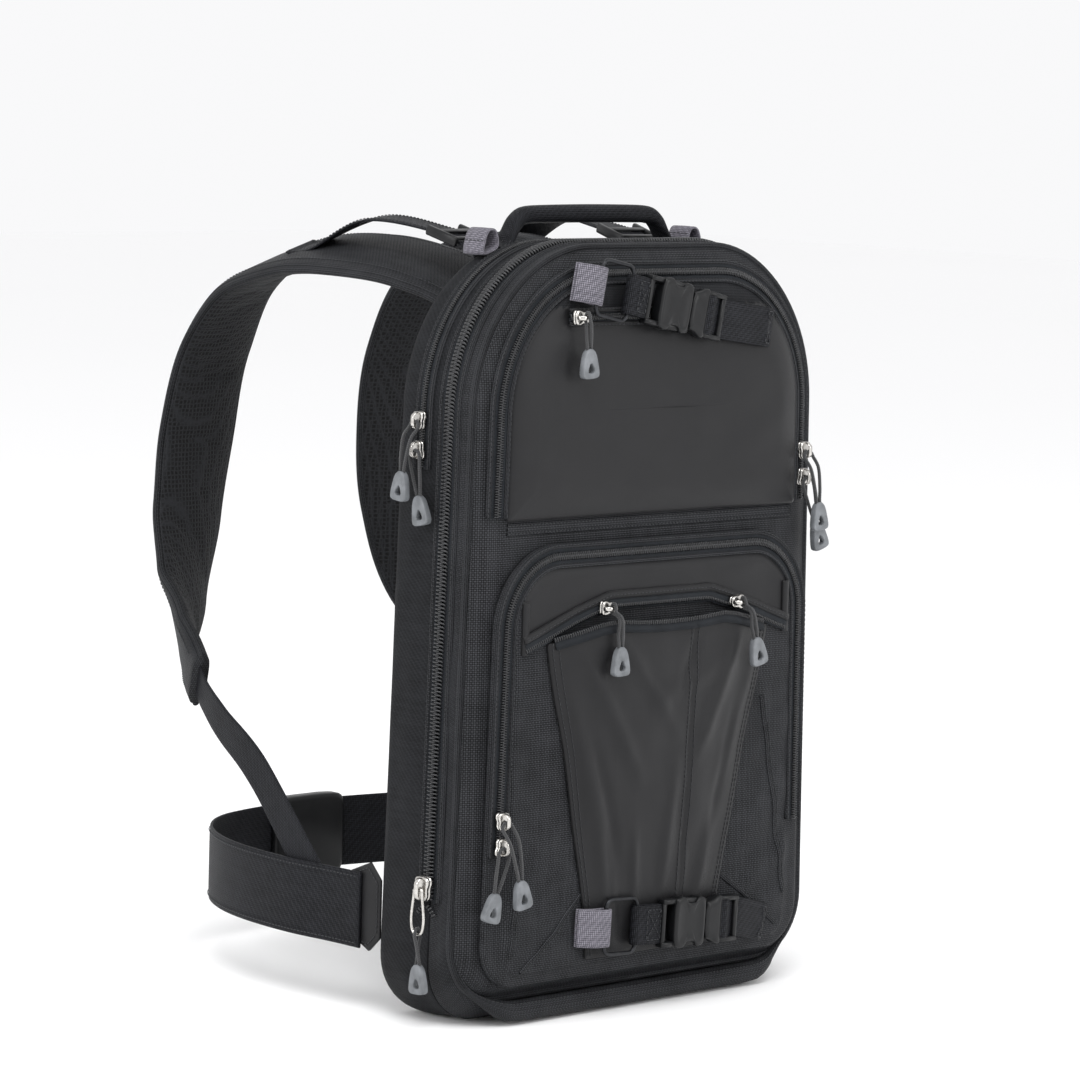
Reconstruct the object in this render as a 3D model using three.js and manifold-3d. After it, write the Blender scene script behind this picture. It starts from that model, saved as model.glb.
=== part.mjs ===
// A slim front-opening camera backpack, worn: two padded shells closed by a coil zip, pockets on
// the front, a tripod carried on two straps, a carry handle, a shoulder harness and a waist belt.
// Millimetres, +Z up, the wearer on the +Y side. Inside this file z is measured from the base and
// "depth" runs forward from the plane where the wearer's back rests, so y = -depth.
// The finished group is moved down so that the origin lies on the wearer's back.
import * as THREE from "three";
import { mergeVertices } from "three/addons/utils/BufferGeometryUtils.js";
import Module from "manifold-3d";

const wasm = await Module();
wasm.setup();

// Driving sizes of the bag
const packHeight = 478;
const halfWidthBase = 156.5;
const halfWidthTop = 146;
const topCornerRadius = 100;
const baseCornerRadius = 40;
const mountHeight = 216;
const gap = 0.3;

// Depths, forward from the wearer's back
const rearFaceDepth = 16;
const laptopZipDepth = 41;
const shellSplitDepth = 64;
const pipingDepth = 82;
const plateauDepth = 92;
const shellWall = 5;
const clothWall = 2;
const webThickness = 1.8;

// Front layout
const midSeamZ = packHeight - 166;
const lowerPocketTop = midSeamZ - 15;
const lowerPocketRadius = 52;
const lowerPocketBase = 23;
const lowerPocketMargin = 15;
const upperZipInset = 16;
const upperPocketInset = 23;
const lowerZipInset = 7;
const laptopZipEndZ = packHeight - 137;
const expansionZipEndZ = 75;
const lowerZipEndZ = 106;

// Zips, pulls and webbing
const zipTapeWidth = 13;
const zipTapeThickness = 1.2;
const zipCoilHeight = 2.6;
const zipCoilWidth = 4.6;
const bigCoilWidth = 7;
const cordRadius = 1.1;
const tagWidth = 14.5;
const tagTopWidth = 8;
const tagHeight = 18.5;
const tagThickness = 4.6;
const strapWebWidth = 25;
const beltWebWidth = 48;

const group = new THREE.Group();

// A point from the bag's own measures: across, forward depth, height above the base.
function at(x, depth, z) {
  return new THREE.Vector3(x, -depth, z);
}

function addMesh(name, geometry, look, parent = group) {
  const material = new THREE.MeshStandardMaterial(look);
  const mesh = new THREE.Mesh(geometry, material);
  mesh.name = name;
  parent.add(mesh);
  return mesh;
}

const ballistic = { color: 0x1b1c1e, roughness: 0.75, metalness: 0 };
const smoothNylon = { color: 0x2a2a2d, roughness: 0.55, metalness: 0 };
const zipBlack = { color: 0x1a1b1c, roughness: 0.5, metalness: 0 };
const webbingBlack = { color: 0x202024, roughness: 0.7, metalness: 0 };
const webbingGrey = { color: 0x8f8d95, roughness: 0.8, metalness: 0 };
const nickel = { color: 0xc9c5bd, roughness: 0.25, metalness: 1 };
const tagRubber = { color: 0x7d8286, roughness: 0.6, metalness: 0 };
const acetal = { color: 0x17181a, roughness: 0.4, metalness: 0 };
const padMesh = { color: 0x1d1d20, roughness: 0.85, metalness: 0 };

// Closed skin through rings of equal length. The first and last ring are capped unless it is a loop.
function loft(rings, isLoop = false) {
  const count = rings[0].length;
  const positions = [];
  const indices = [];
  for (const ring of rings) for (const p of ring) positions.push(p.x, p.y, p.z);
  const spans = isLoop ? rings.length : rings.length - 1;
  for (let i = 0; i < spans; i++) {
    const here = i * count;
    const next = ((i + 1) % rings.length) * count;
    for (let j = 0; j < count; j++) {
      const k = (j + 1) % count;
      indices.push(here + j, here + k, next + k, here + j, next + k, next + j);
    }
  }
  if (!isLoop) {
    capRing(rings[0], 0, true, indices);
    capRing(rings[rings.length - 1], (rings.length - 1) * count, false, indices);
  }
  return facingOut(positions, indices);
}

function capRing(ring, start, isFirst, indices) {
  const normal = new THREE.Vector3();
  ring.forEach((p, i) => {
    const q = ring[(i + 1) % ring.length];
    normal.x += (p.y - q.y) * (p.z + q.z);
    normal.y += (p.z - q.z) * (p.x + q.x);
    normal.z += (p.x - q.x) * (p.y + q.y);
  });
  normal.normalize();
  const seed = Math.abs(normal.z) > 0.9 ? new THREE.Vector3(1, 0, 0) : new THREE.Vector3(0, 0, 1);
  const u = new THREE.Vector3().crossVectors(seed, normal).normalize();
  const v = new THREE.Vector3().crossVectors(normal, u);
  const flat = ring.map((p) => new THREE.Vector2(p.dot(u), p.dot(v)));
  for (const [a, b, c] of THREE.ShapeUtils.triangulateShape(flat, [])) {
    const ab = flat[b].clone().sub(flat[a]);
    const ac = flat[c].clone().sub(flat[a]);
    const alongRing = ab.cross(ac) > 0;
    if (alongRing === isFirst) indices.push(start + a, start + c, start + b);
    else indices.push(start + a, start + b, start + c);
  }
}

function facingOut(positions, indices) {
  const point = (i) => new THREE.Vector3().fromArray(positions, i * 3);
  let volume = 0;
  for (let i = 0; i < indices.length; i += 3) {
    const [a, b, c] = [point(indices[i]), point(indices[i + 1]), point(indices[i + 2])];
    volume += a.dot(b.cross(c));
  }
  if (volume < 0) {
    for (let i = 0; i < indices.length; i += 3) {
      [indices[i + 1], indices[i + 2]] = [indices[i + 2], indices[i + 1]];
    }
  }
  const geometry = new THREE.BufferGeometry();
  geometry.setAttribute("position", new THREE.Float32BufferAttribute(positions, 3));
  geometry.setIndex(indices);
  return geometry;
}

// Booleans on closed geometry
function solid(geometry) {
  const bare = geometry.clone();
  bare.deleteAttribute("normal");
  bare.deleteAttribute("uv");
  const merged = mergeVertices(bare, 1e-3);
  return new wasm.Manifold(
    new wasm.Mesh({
      numProp: 3,
      vertProperties: merged.attributes.position.array,
      triVerts: new Uint32Array(merged.index.array),
    }),
  );
}

function joined(...geometries) {
  const [first, ...rest] = geometries.map(solid);
  const mesh = rest.reduce((sum, next) => sum.add(next), first).getMesh();
  const geometry = new THREE.BufferGeometry();
  geometry.setAttribute("position", new THREE.Float32BufferAttribute(mesh.vertProperties, 3));
  geometry.setIndex(Array.from(mesh.triVerts));
  return geometry;
}

// Bands: webbing and padded straps swept along stations. Each station has a middle, the way its
// face looks, a width and a thickness.
function bandRings(stations, section) {
  return stations.map((station, i) => {
    const before = stations[Math.max(i - 1, 0)].middle;
    const after = stations[Math.min(i + 1, stations.length - 1)].middle;
    const along = after.clone().sub(before).normalize();
    const side = new THREE.Vector3().crossVectors(station.face, along).normalize();
    const face = new THREE.Vector3().crossVectors(along, side);
    return section(station).map(([u, v]) =>
      station.middle.clone().addScaledVector(side, u).addScaledVector(face, v),
    );
  });
}

function flatSection({ width, thickness }) {
  const [u, v] = [width / 2, thickness / 2];
  return [
    [-u, -v],
    [u, -v],
    [u, v],
    [-u, v],
  ];
}

function paddedSection({ width, thickness }) {
  const [u, v] = [width / 2, thickness / 2];
  const edge = thickness * 0.34;
  return [
    [-u + edge, -v],
    [u - edge, -v],
    [u, -v + edge],
    [u, v - edge],
    [u - edge, v],
    [-u + edge, v],
    [-u, v - edge],
    [-u, -v + edge],
  ];
}

function roundSection({ radius }) {
  const sides = 6;
  return Array.from({ length: sides }, (_, i) => {
    const turn = (i / sides) * Math.PI * 2;
    return [Math.cos(turn) * radius, Math.sin(turn) * radius];
  });
}

function band(stations, section = flatSection) {
  return loft(bandRings(stations, section));
}

// Outlines, seen from the front. A spec names the panel; inset draws the line that far inside it.
const packSpec = {
  base: 0,
  top: packHeight,
  margin: 0,
  baseRadius: baseCornerRadius,
  topRadius: topCornerRadius,
  levels: [expansionZipEndZ, packHeight * 0.314, packHeight * 0.481, midSeamZ, laptopZipEndZ],
};
const lowerPocketSpec = {
  base: lowerPocketBase,
  top: lowerPocketTop,
  margin: lowerPocketMargin,
  baseRadius: 30,
  topRadius: lowerPocketRadius,
  levels: [lowerZipEndZ, lowerPocketTop * 0.59],
};
const upperPocketSpec = {
  base: midSeamZ,
  top: packHeight - upperPocketInset,
  margin: upperPocketInset,
  baseRadius: 3,
  topRadius: topCornerRadius - upperPocketInset,
  levels: [midSeamZ + 38],
};
const baseSteps = 2;
const topSteps = 2;
const baseCornerSteps = 4;
const topCornerSteps = 6;

function halfWidthAt(z) {
  return halfWidthBase + ((halfWidthTop - halfWidthBase) * z) / packHeight;
}

// The right half of an outline, from the base centre round to the top centre.
function halfOutline(spec, inset, baseLift) {
  const wide = halfWidthBase - spec.margin - inset;
  const low = spec.base + inset + baseLift;
  const high = spec.top - inset;
  const baseRadius = Math.max(spec.baseRadius - inset, 1);
  const topRadius = Math.max(spec.topRadius - inset, 1);
  const points = [];
  for (let i = 0; i < baseSteps; i++) points.push([((wide - baseRadius) * i) / baseSteps, low]);
  for (let i = 0; i <= baseCornerSteps; i++) {
    const turn = (Math.PI / 2) * (i / baseCornerSteps);
    points.push([wide - baseRadius * (1 - Math.sin(turn)), low + baseRadius * (1 - Math.cos(turn))]);
  }
  for (const level of spec.levels) points.push([wide, level]);
  for (let i = 0; i <= topCornerSteps; i++) {
    const turn = (Math.PI / 2) * (i / topCornerSteps);
    points.push([wide - topRadius * (1 - Math.cos(turn)), high - topRadius * (1 - Math.sin(turn))]);
  }
  for (let i = topSteps - 1; i >= 0; i--) points.push([((wide - topRadius) * i) / topSteps, high]);
  return points.map(([x, z]) => [(x * halfWidthAt(z)) / halfWidthBase, z]);
}

function outline(spec, inset, baseLift = 0) {
  const right = halfOutline(spec, inset, baseLift);
  const left = right.slice(1, -1).reverse();
  return [...right, ...left.map(([x, z]) => [-x, z])];
}

// Shells and pocket trays: a row for each section, from the outer face round the rim to the inner one.
function sectionLoft(spec, rows) {
  return loft(
    rows.map(({ depth, inset, lift = 0 }) =>
      outline(spec, inset, lift).map(([x, z]) => at(x, depth, z)),
    ),
  );
}

const rearShellRows = [
  { depth: rearFaceDepth, inset: 8 },
  { depth: rearFaceDepth + 2.2, inset: 2.4 },
  { depth: rearFaceDepth + 8, inset: 0 },
  { depth: shellSplitDepth - gap, inset: 0 },
  { depth: shellSplitDepth - gap, inset: shellWall },
  { depth: rearFaceDepth + shellWall, inset: shellWall },
];
const frontShellRows = [
  { depth: plateauDepth, inset: 26, lift: 0 },
  { depth: plateauDepth - 1.6, inset: 14, lift: 8 },
  { depth: plateauDepth - 5.5, inset: 7, lift: 12 },
  { depth: pipingDepth + 2.6, inset: 2.2, lift: 15 },
  { depth: pipingDepth + 2, inset: -1.4, lift: 15.5 },
  { depth: pipingDepth - 1.6, inset: -1.8, lift: 12.5 },
  { depth: pipingDepth - 3, inset: 0, lift: 9 },
  { depth: pipingDepth - 10, inset: 0, lift: 3 },
  { depth: shellSplitDepth + gap, inset: 0, lift: 0 },
  { depth: shellSplitDepth + gap, inset: shellWall, lift: 0 },
  { depth: pipingDepth - 4, inset: shellWall, lift: 9 },
  { depth: plateauDepth - shellWall, inset: 21, lift: 8 },
];
addMesh("rear_shell", sectionLoft(packSpec, rearShellRows), ballistic);
addMesh("front_shell", sectionLoft(packSpec, frontShellRows), ballistic);

const upperPocketRise = 6;
const upperPocketRows = [
  { depth: plateauDepth + upperPocketRise, inset: 16 },
  { depth: plateauDepth + upperPocketRise * 0.7, inset: 7 },
  { depth: plateauDepth + upperPocketRise * 0.35, inset: 0 },
  { depth: plateauDepth + gap, inset: 0 },
  { depth: plateauDepth + gap, inset: clothWall },
  { depth: plateauDepth + upperPocketRise * 0.7 - clothWall, inset: 8 },
  { depth: plateauDepth + upperPocketRise - clothWall, inset: 17 },
];
addMesh("upper_pocket", sectionLoft(upperPocketSpec, upperPocketRows), smoothNylon);

const lowerPocketRise = 8;
const lowerPocketRows = [
  { depth: plateauDepth + lowerPocketRise, inset: 18, lift: -8 },
  { depth: plateauDepth + lowerPocketRise * 0.78, inset: 14, lift: -6 },
  { depth: plateauDepth + lowerPocketRise * 0.62, inset: 3, lift: -0.5 },
  { depth: plateauDepth + lowerPocketRise * 0.38, inset: 0.6 },
  { depth: plateauDepth + gap, inset: 0 },
  { depth: plateauDepth + gap, inset: clothWall },
  { depth: plateauDepth + lowerPocketRise * 0.78 - clothWall, inset: 15, lift: -6 },
  { depth: plateauDepth + lowerPocketRise - clothWall, inset: 19, lift: -8 },
];
addMesh("lower_pocket", sectionLoft(lowerPocketSpec, lowerPocketRows), ballistic);

// Zips: a tape with a raised coil, run along an outline. Side zips lie on the shells' edge,
// front zips lie on the front face. Profile columns are inset and depth.
function sideZipProfile(depth, tapeWidth, coilWidth, coilHeight) {
  return [
    { inset: -gap, depth: depth - tapeWidth / 2 },
    { inset: -gap, depth: depth + tapeWidth / 2 },
    { inset: -gap - zipTapeThickness, depth: depth + tapeWidth / 2 },
    { inset: -gap - coilHeight, depth: depth + coilWidth / 2 },
    { inset: -gap - coilHeight, depth: depth - coilWidth / 2 },
    { inset: -gap - zipTapeThickness, depth: depth - tapeWidth / 2 },
  ];
}

function frontZipProfile(inset, depth, rise) {
  const half = zipTapeWidth / 2;
  const slope = rise / zipTapeWidth;
  return [
    { inset: inset - half, depth: depth - half * slope },
    { inset: inset + half, depth: depth + half * slope },
    { inset: inset + half, depth: depth + half * slope + zipTapeThickness },
    { inset: inset + zipCoilWidth / 2, depth: depth + zipCoilHeight },
    { inset: inset - zipCoilWidth / 2, depth: depth + zipCoilHeight },
    { inset: inset - half, depth: depth - half * slope + zipTapeThickness },
  ];
}

// The stretch of an outline above a level, from the right side over the top to the left side.
function ribbonAbove(spec, lowestZ, profile) {
  const lines = profile.map(({ inset, depth }) =>
    outline(spec, inset).map(([x, z]) => at(x, depth, z)),
  );
  const path = outline(spec, 0);
  const tolerance = 0.5;
  const kept = path.map((_, i) => i).filter((i) => path[i][1] >= lowestZ - tolerance);
  return loft(kept.map((i) => lines.map((line) => line[i])));
}

const expansionProfile = sideZipProfile(shellSplitDepth, 17, bigCoilWidth, 3.4);
addMesh("expansion_zip", ribbonAbove(packSpec, expansionZipEndZ, expansionProfile), zipBlack);

const laptopProfile = sideZipProfile(laptopZipDepth, zipTapeWidth, zipCoilWidth, zipCoilHeight);
addMesh("laptop_zip", ribbonAbove(packSpec, laptopZipEndZ, laptopProfile), zipBlack);

const upperZipBase = plateauDepth - 0.75 + gap;
const upperZipProfile = frontZipProfile(upperZipInset, upperZipBase, 1.6);
addMesh("upper_pocket_zip", ribbonAbove(packSpec, midSeamZ, upperZipProfile), zipBlack);

const lowerZipBase = plateauDepth + lowerPocketRise * 0.7 + gap;
const lowerZipProfile = frontZipProfile(lowerZipInset, lowerZipBase, 1.6);
addMesh("lower_pocket_zip", ribbonAbove(lowerPocketSpec, lowerZipEndZ, lowerZipProfile), zipBlack);

function polygon(points) {
  return new THREE.Shape(points.map(([x, y]) => new THREE.Vector2(x, y)));
}

function polygonHole(points) {
  return new THREE.Path(points.map(([x, y]) => new THREE.Vector2(x, y)));
}

// Organiser zip across the head of the upper pocket
const organiserZ = packHeight - 42;
const organiserHalf = halfWidthBase * 0.537;
const upperFace = plateauDepth + upperPocketRise + gap;
const organiserZipHeight = 11;
function organiserZip() {
  const half = organiserZipHeight / 2;
  const profile = [
    [0, -half],
    [0, half],
    [zipTapeThickness, half],
    [zipCoilHeight, zipCoilWidth / 2],
    [zipCoilHeight, -zipCoilWidth / 2],
    [zipTapeThickness, -half],
  ];
  const ends = [-organiserHalf, organiserHalf];
  return loft(ends.map((x) => profile.map(([lift, z]) => at(x, upperFace + lift, organiserZ + z))));
}
addMesh("organiser_zip", organiserZip(), zipBlack);

// Slash pocket: a smooth panel that bulges away from the lower pocket and is open at its mouth.
// Columns: height as a share of the pocket's top, half width as a share of the pocket's, how far
// it stands off at its middle.
const slashRows = [
  { z: 0.8316, half: 0.678, bulge: 10 },
  { z: 0.788, half: 0.686, bulge: 10.2 },
  { z: 0.69, half: 0.643, bulge: 9.6 },
  { z: 0.556, half: 0.565, bulge: 8.4 },
  { z: 0.404, half: 0.502, bulge: 6.2 },
  { z: 0.283, half: 0.445, bulge: 3 },
  { z: 0.189, half: 0.41, bulge: 1.5 },
  { z: 0.121, half: 0.403, bulge: 0.6 },
];
const lowerPocketHalf = halfWidthBase - lowerPocketMargin;
const slashMouthDrop = 16;
const slashColumns = 12;
const lowerFace = plateauDepth + lowerPocketRise + gap;
const slashWall = 1.6;

// The panel's edge falls away from the sliders to its two ends.
function slashPoint(row, share, isInner) {
  const across = share * 2 - 1;
  const isMouth = row === slashRows[0];
  const drop = isMouth ? slashMouthDrop * Math.max(0, Math.abs(across) - 0.5) * 2 : 0;
  const bulge = row.bulge * (1 - across ** 4) * (1 - 0.25 * across ** 2);
  const depth = lowerFace + bulge + (isInner ? 0 : slashWall);
  return at(across * row.half * lowerPocketHalf, depth, row.z * lowerPocketTop - drop * 0.7);
}

function slashPocket() {
  const shares = Array.from({ length: slashColumns + 1 }, (_, i) => i / slashColumns);
  return loft(
    slashRows.map((row) => [
      ...shares.map((s) => slashPoint(row, s, true)),
      ...shares.map((s) => slashPoint(row, s, false)).reverse(),
    ]),
  );
}
addMesh("slash_pocket", slashPocket(), smoothNylon);

// Slash zip: the upper half of the pocket's zip, an arch sewn to the lower pocket's face.
// Columns: distance across as a share of the pocket's half width, height as a share of its top.
const slashZipRows = [
  { across: -0.707, up: 0.7946 },
  { across: -0.509, up: 0.8283 },
  { across: -0.311, up: 0.8552 },
  { across: 0.311, up: 0.8552 },
  { across: 0.509, up: 0.8283 },
  { across: 0.707, up: 0.7946 },
];
const slashZipHeight = 7;
function slashZip() {
  return loft(
    slashZipRows.map(({ across, up }) => {
      const [x, z] = [across * lowerPocketHalf, up * lowerPocketTop];
      return [
        at(x, lowerFace, z),
        at(x, lowerFace + zipCoilHeight, z + 1.5),
        at(x, lowerFace + zipCoilHeight, z + 4),
        at(x, lowerFace, z + slashZipHeight),
      ];
    }),
  );
}
addMesh("slash_zip", slashZip(), zipBlack);

// A slider is a plate with a bridge over it; the pull's cord runs through the bridge.
// Local frame: x across the zip, y along it (up), z away from the cloth.
function sliderGeometry(width, length, thickness, bridgeWidth) {
  const plate = new THREE.ExtrudeGeometry(
    polygon([
      [-width * 0.36, -length / 2],
      [width * 0.36, -length / 2],
      [width / 2, 0],
      [width / 2, length / 2],
      [-width / 2, length / 2],
      [-width / 2, 0],
    ]),
    { depth: thickness, bevelEnabled: false },
  );
  const reach = length * 0.42;
  const rise = bridgeRise;
  const wall = bridgeRoof;
  const side = polygon([
    [-reach, thickness - 0.5],
    [reach, thickness - 0.5],
    [reach, thickness + rise * 0.6],
    [reach * 0.55, thickness + rise],
    [-reach * 0.55, thickness + rise],
    [-reach, thickness + rise * 0.6],
  ]);
  side.holes.push(
    polygonHole([
      [-reach + wall, thickness + 0.2],
      [reach - wall, thickness + 0.2],
      [reach - wall, thickness + rise * 0.5],
      [reach * 0.45, thickness + rise - wall],
      [-reach * 0.45, thickness + rise - wall],
      [-reach + wall, thickness + rise * 0.5],
    ]),
  );
  const bridge = new THREE.ExtrudeGeometry(side, { depth: bridgeWidth, bevelEnabled: false });
  bridge.translate(0, 0, -bridgeWidth / 2);
  // The side view's axes, along and away, become y and z.
  bridge.applyMatrix4(new THREE.Matrix4().set(0, 0, 1, 0, 1, 0, 0, 0, 0, 1, 0, 0, 0, 0, 0, 1));
  return joined(plate, bridge);
}

// A moulded tag with a triangular window, hung on a cord loop. Local frame as the slider's, with the
// origin where the cord crosses the bridge and the tag hanging towards -y.
// The loop's two legs pass beside a bridge, or in front of and behind a ring.
function pullGeometry(cordDrop, half, lean, throughRing = false) {
  const tag = polygon([
    [-tagTopWidth / 2, 0],
    [-tagWidth / 2, -tagHeight + 3],
    [-tagWidth / 2 + 1.5, -tagHeight],
    [tagWidth / 2 - 1.5, -tagHeight],
    [tagWidth / 2, -tagHeight + 3],
    [tagTopWidth / 2, 0],
  ]);
  tag.holes.push(
    polygonHole([
      [0, -tagHeight * 0.42],
      [-3.4, -tagHeight + 4],
      [3.4, -tagHeight + 4],
    ]),
  );
  const body = new THREE.ExtrudeGeometry(tag, { depth: tagThickness, bevelEnabled: false });
  body.translate(0, -cordDrop, -tagThickness / 2 + lean);
  const lowLeg = throughRing ? 5.8 : 3;
  const rightLeg = [
    [0.7, -0.45, 0],
    [1, -1.5, 0],
    [1, -lowLeg, 0],
    [1, -cordDrop * 0.32, 0.85],
    [0.4, -cordDrop - 2, 1],
  ];
  const leftLeg = rightLeg.map(([side, y, share]) => [-side, y, share]).reverse();
  const face = throughRing ? new THREE.Vector3(1, 0, 0) : new THREE.Vector3(0, 0, 1);
  const stations = [...leftLeg, [0, 0, 0], ...rightLeg].map(([side, y, share]) => {
    const beside = throughRing ? 0 : side * half;
    const away = share * lean + (throughRing ? side * half : 0);
    return { middle: new THREE.Vector3(beside, y, away), face, radius: cordRadius };
  });
  return joined(body, band(stations, roundSection));
}

// Turns a local frame (x across, y up, z away from the cloth) into the bag's frame.
function facing(normal, roll) {
  const away = normal.clone().normalize();
  const up = new THREE.Vector3(0, 0, 1);
  const across = new THREE.Vector3().crossVectors(up, away).normalize();
  const along = new THREE.Vector3().crossVectors(away, across);
  const basis = new THREE.Matrix4().makeBasis(across, along, away);
  const turned = new THREE.Matrix4().makeRotationZ(roll);
  return basis.multiply(turned);
}

function placed(geometry, where, normal, roll = 0) {
  const moved = geometry.clone();
  moved.applyMatrix4(facing(normal, roll));
  moved.translate(where.x, where.y, where.z);
  return moved;
}

const front = new THREE.Vector3(0, -1, 0);
const leftSide = new THREE.Vector3(-1, 0, 0);
const sliderWidth = 9;
const sliderLength = 11;
const sliderThickness = 3.4;
const bridgeWidth = 2.8;
const bridgeRise = 4.4;
const bridgeRoof = 1.2;
const cordLift = sliderThickness + 1.7;
// On a slider that lies on its side the cord's loop closes round the bridge's roof.
const roofLift = sliderThickness + bridgeRise - bridgeRoof / 2;
const roofClearance = bridgeRoof / 2 + cordRadius + 0.35;

// Small sliders. Columns: place of the slider's foot on the coil, the way the cloth faces,
// the turn of the slider on its zip, the turn of its hanging tag, the cord's length.
function zipTop(inset) {
  return zipCoilHeight + gap + inset;
}
const sideX = (z) => halfWidthAt(z) + zipTop(gap);
const laptopPull = (rise) => at(-sideX(laptopZipEndZ + rise), laptopZipDepth, laptopZipEndZ + rise);
const upperZipX = halfWidthAt(midSeamZ + 18) - upperZipInset;
const lowerZipX = halfWidthAt(lowerZipEndZ + 4) - lowerPocketMargin - lowerZipInset;
const upperZipFace = upperZipBase + zipTop(0);
const lowerZipFace = lowerZipBase + zipTop(0);
const slashFace = lowerFace + zipTop(0);
const organiserPlace = at(6 - organiserHalf, upperFace + zipTop(0), organiserZ);
const slashLeftPlace = at(-0.353 * lowerPocketHalf, slashFace, 0.862 * lowerPocketTop);
const slashRightPlace = at(0.466 * lowerPocketHalf, slashFace, 0.8518 * lowerPocketTop);
const pulls = [
  { name: "laptop_a", place: laptopPull(30), normal: leftSide, roll: 0, hang: -0.1, cord: 31, lean: 6.8 },
  { name: "laptop_b", place: laptopPull(12), normal: leftSide, roll: 180, hang: 0.22, cord: 28, lean: 0.6 },
  { name: "upper_a", place: at(upperZipX, upperZipFace, midSeamZ + 34), normal: front, roll: 0, hang: 0.12, cord: 33, lean: 6.8 },
  { name: "upper_b", place: at(upperZipX, upperZipFace, midSeamZ + 17), normal: front, roll: 180, hang: 0.3, cord: 31, lean: 0.6 },
  { name: "lower_a", place: at(-lowerZipX, lowerZipFace, lowerZipEndZ + 24), normal: front, roll: 0, hang: 0.18, cord: 36, lean: 6.8 },
  { name: "lower_b", place: at(-lowerZipX, lowerZipFace, lowerZipEndZ + 8), normal: front, roll: 180, hang: -0.28, cord: 28, lean: 0.6 },
  { name: "organiser", place: organiserPlace, normal: front, roll: 90, hang: 0.06, cord: 22, lean: 0.6 },
  { name: "slash_left", place: slashLeftPlace, normal: front, roll: 90, hang: 0.02, cord: 26, lean: 6.4 },
  { name: "slash_right", place: slashRightPlace, normal: front, roll: -90, hang: 0.24, cord: 26, lean: 6 },
];
const sliderSolid = sliderGeometry(sliderWidth, sliderLength, sliderThickness, bridgeWidth);
for (const { name, place, normal, roll, hang, cord, lean } of pulls) {
  const turn = THREE.MathUtils.degToRad(roll);
  addMesh(`slider_${name}`, placed(sliderSolid, place, normal, turn), nickel);
  const isLying = Math.abs(roll) === 90;
  const cross = place.clone().addScaledVector(normal, isLying ? roofLift : cordLift);
  if (isLying) cross.z += bridgeWidth / 2 + cordRadius + 0.8;
  const swing = Math.abs(hang) * sliderLength * 0.45;
  const half = isLying ? roofClearance : bridgeWidth / 2 + cordRadius + 0.7 + swing;
  const pull = pullGeometry(cord, half, lean, isLying);
  addMesh(`pull_${name}`, placed(pull, cross, normal, hang), tagRubber);
}

// Expansion slider: the large slider at the low left end of the expansion zip, with a long
// teardrop puller hinged in its bridge, and the puller's cord and tag.
const bigSliderWidth = 12;
const bigSliderLength = 15;
const bigSliderThickness = 4.2;
const bigBridgeWidth = 3.6;
const pullerLength = 27;
const pullerWidth = 11;
const pullerWire = 1.7;
const expansionCoilTop = 3.4 + gap;
const bigSliderZ = expansionZipEndZ + 11;
const bigSliderFace = halfWidthAt(bigSliderZ) + expansionCoilTop + gap + 0.2;
const bigSliderPlace = at(-bigSliderFace, shellSplitDepth, bigSliderZ);
const bigSlider = sliderGeometry(bigSliderWidth, bigSliderLength, bigSliderThickness, bigBridgeWidth);
addMesh("slider_expansion", placed(bigSlider, bigSliderPlace, leftSide), nickel);

const hingeLift = bigSliderThickness + 1.9;
const pullerHinge = bigSliderPlace.clone().addScaledVector(leftSide, hingeLift);

// The puller in its local frame: its top bar crosses the bridge at the origin.
function pullerGeometry() {
  const half = pullerWidth / 2;
  const waist = bigBridgeWidth / 2 + pullerWire / 2 + 0.6;
  const ring = new THREE.CatmullRomCurve3(
    [
      new THREE.Vector3(-waist, -0.4, 0),
      new THREE.Vector3(0, 0, 0),
      new THREE.Vector3(waist, -0.4, 0),
      new THREE.Vector3(waist + 0.6, -5, 0),
      new THREE.Vector3(half, -pullerLength * 0.7, 0),
      new THREE.Vector3(half * 0.6, -pullerLength, 0),
      new THREE.Vector3(-half * 0.6, -pullerLength, 0),
      new THREE.Vector3(-half, -pullerLength * 0.7, 0),
      new THREE.Vector3(-waist - 0.6, -5, 0),
    ],
    true,
  );
  return ringTube(ring, 20, pullerWire / 2);
}

// A closed ring of round wire
function ringTube(curve, steps, radius) {
  const sides = 6;
  const rings = [];
  for (let i = 0; i < steps; i++) {
    const centre = curve.getPointAt(i / steps);
    const along = curve.getTangentAt(i / steps);
    const away = new THREE.Vector3(0, 0, 1);
    const beside = new THREE.Vector3().crossVectors(along, away).normalize();
    const ring = [];
    for (let j = 0; j < sides; j++) {
      const turn = (j / sides) * Math.PI * 2;
      const spoke = beside.clone().multiplyScalar(Math.cos(turn) * radius);
      ring.push(centre.clone().add(spoke).addScaledVector(away, Math.sin(turn) * radius));
    }
    rings.push(ring);
  }
  return loft(rings, true);
}
addMesh("expansion_puller", placed(pullerGeometry(), pullerHinge, leftSide), nickel);

const expansionCord = 22;
const pullerEye = new THREE.Vector3(0, -pullerLength + pullerWire / 2 + cordRadius + 0.6, 0);
const pullerEyePlace = pullerEye.applyMatrix4(facing(leftSide, 0)).add(pullerHinge);
const ringLegs = pullerWire / 2 + cordRadius + 0.35;
const expansionPull = pullGeometry(expansionCord, ringLegs, 0, true);
addMesh("pull_expansion", placed(expansionPull, pullerEyePlace, leftSide, 0.06), tagRubber);

function mirrored(geometry) {
  const copy = geometry.clone();
  copy.scale(-1, 1, 1);
  const order = Array.from(copy.index.array);
  for (let i = 0; i < order.length; i += 3) [order[i + 1], order[i + 2]] = [order[i + 2], order[i + 1]];
  copy.setIndex(order);
  return copy;
}

function addPair(name, geometry, look) {
  addMesh(`${name}_right`, geometry, look);
  addMesh(`${name}_left`, mirrored(geometry), look);
}

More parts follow.
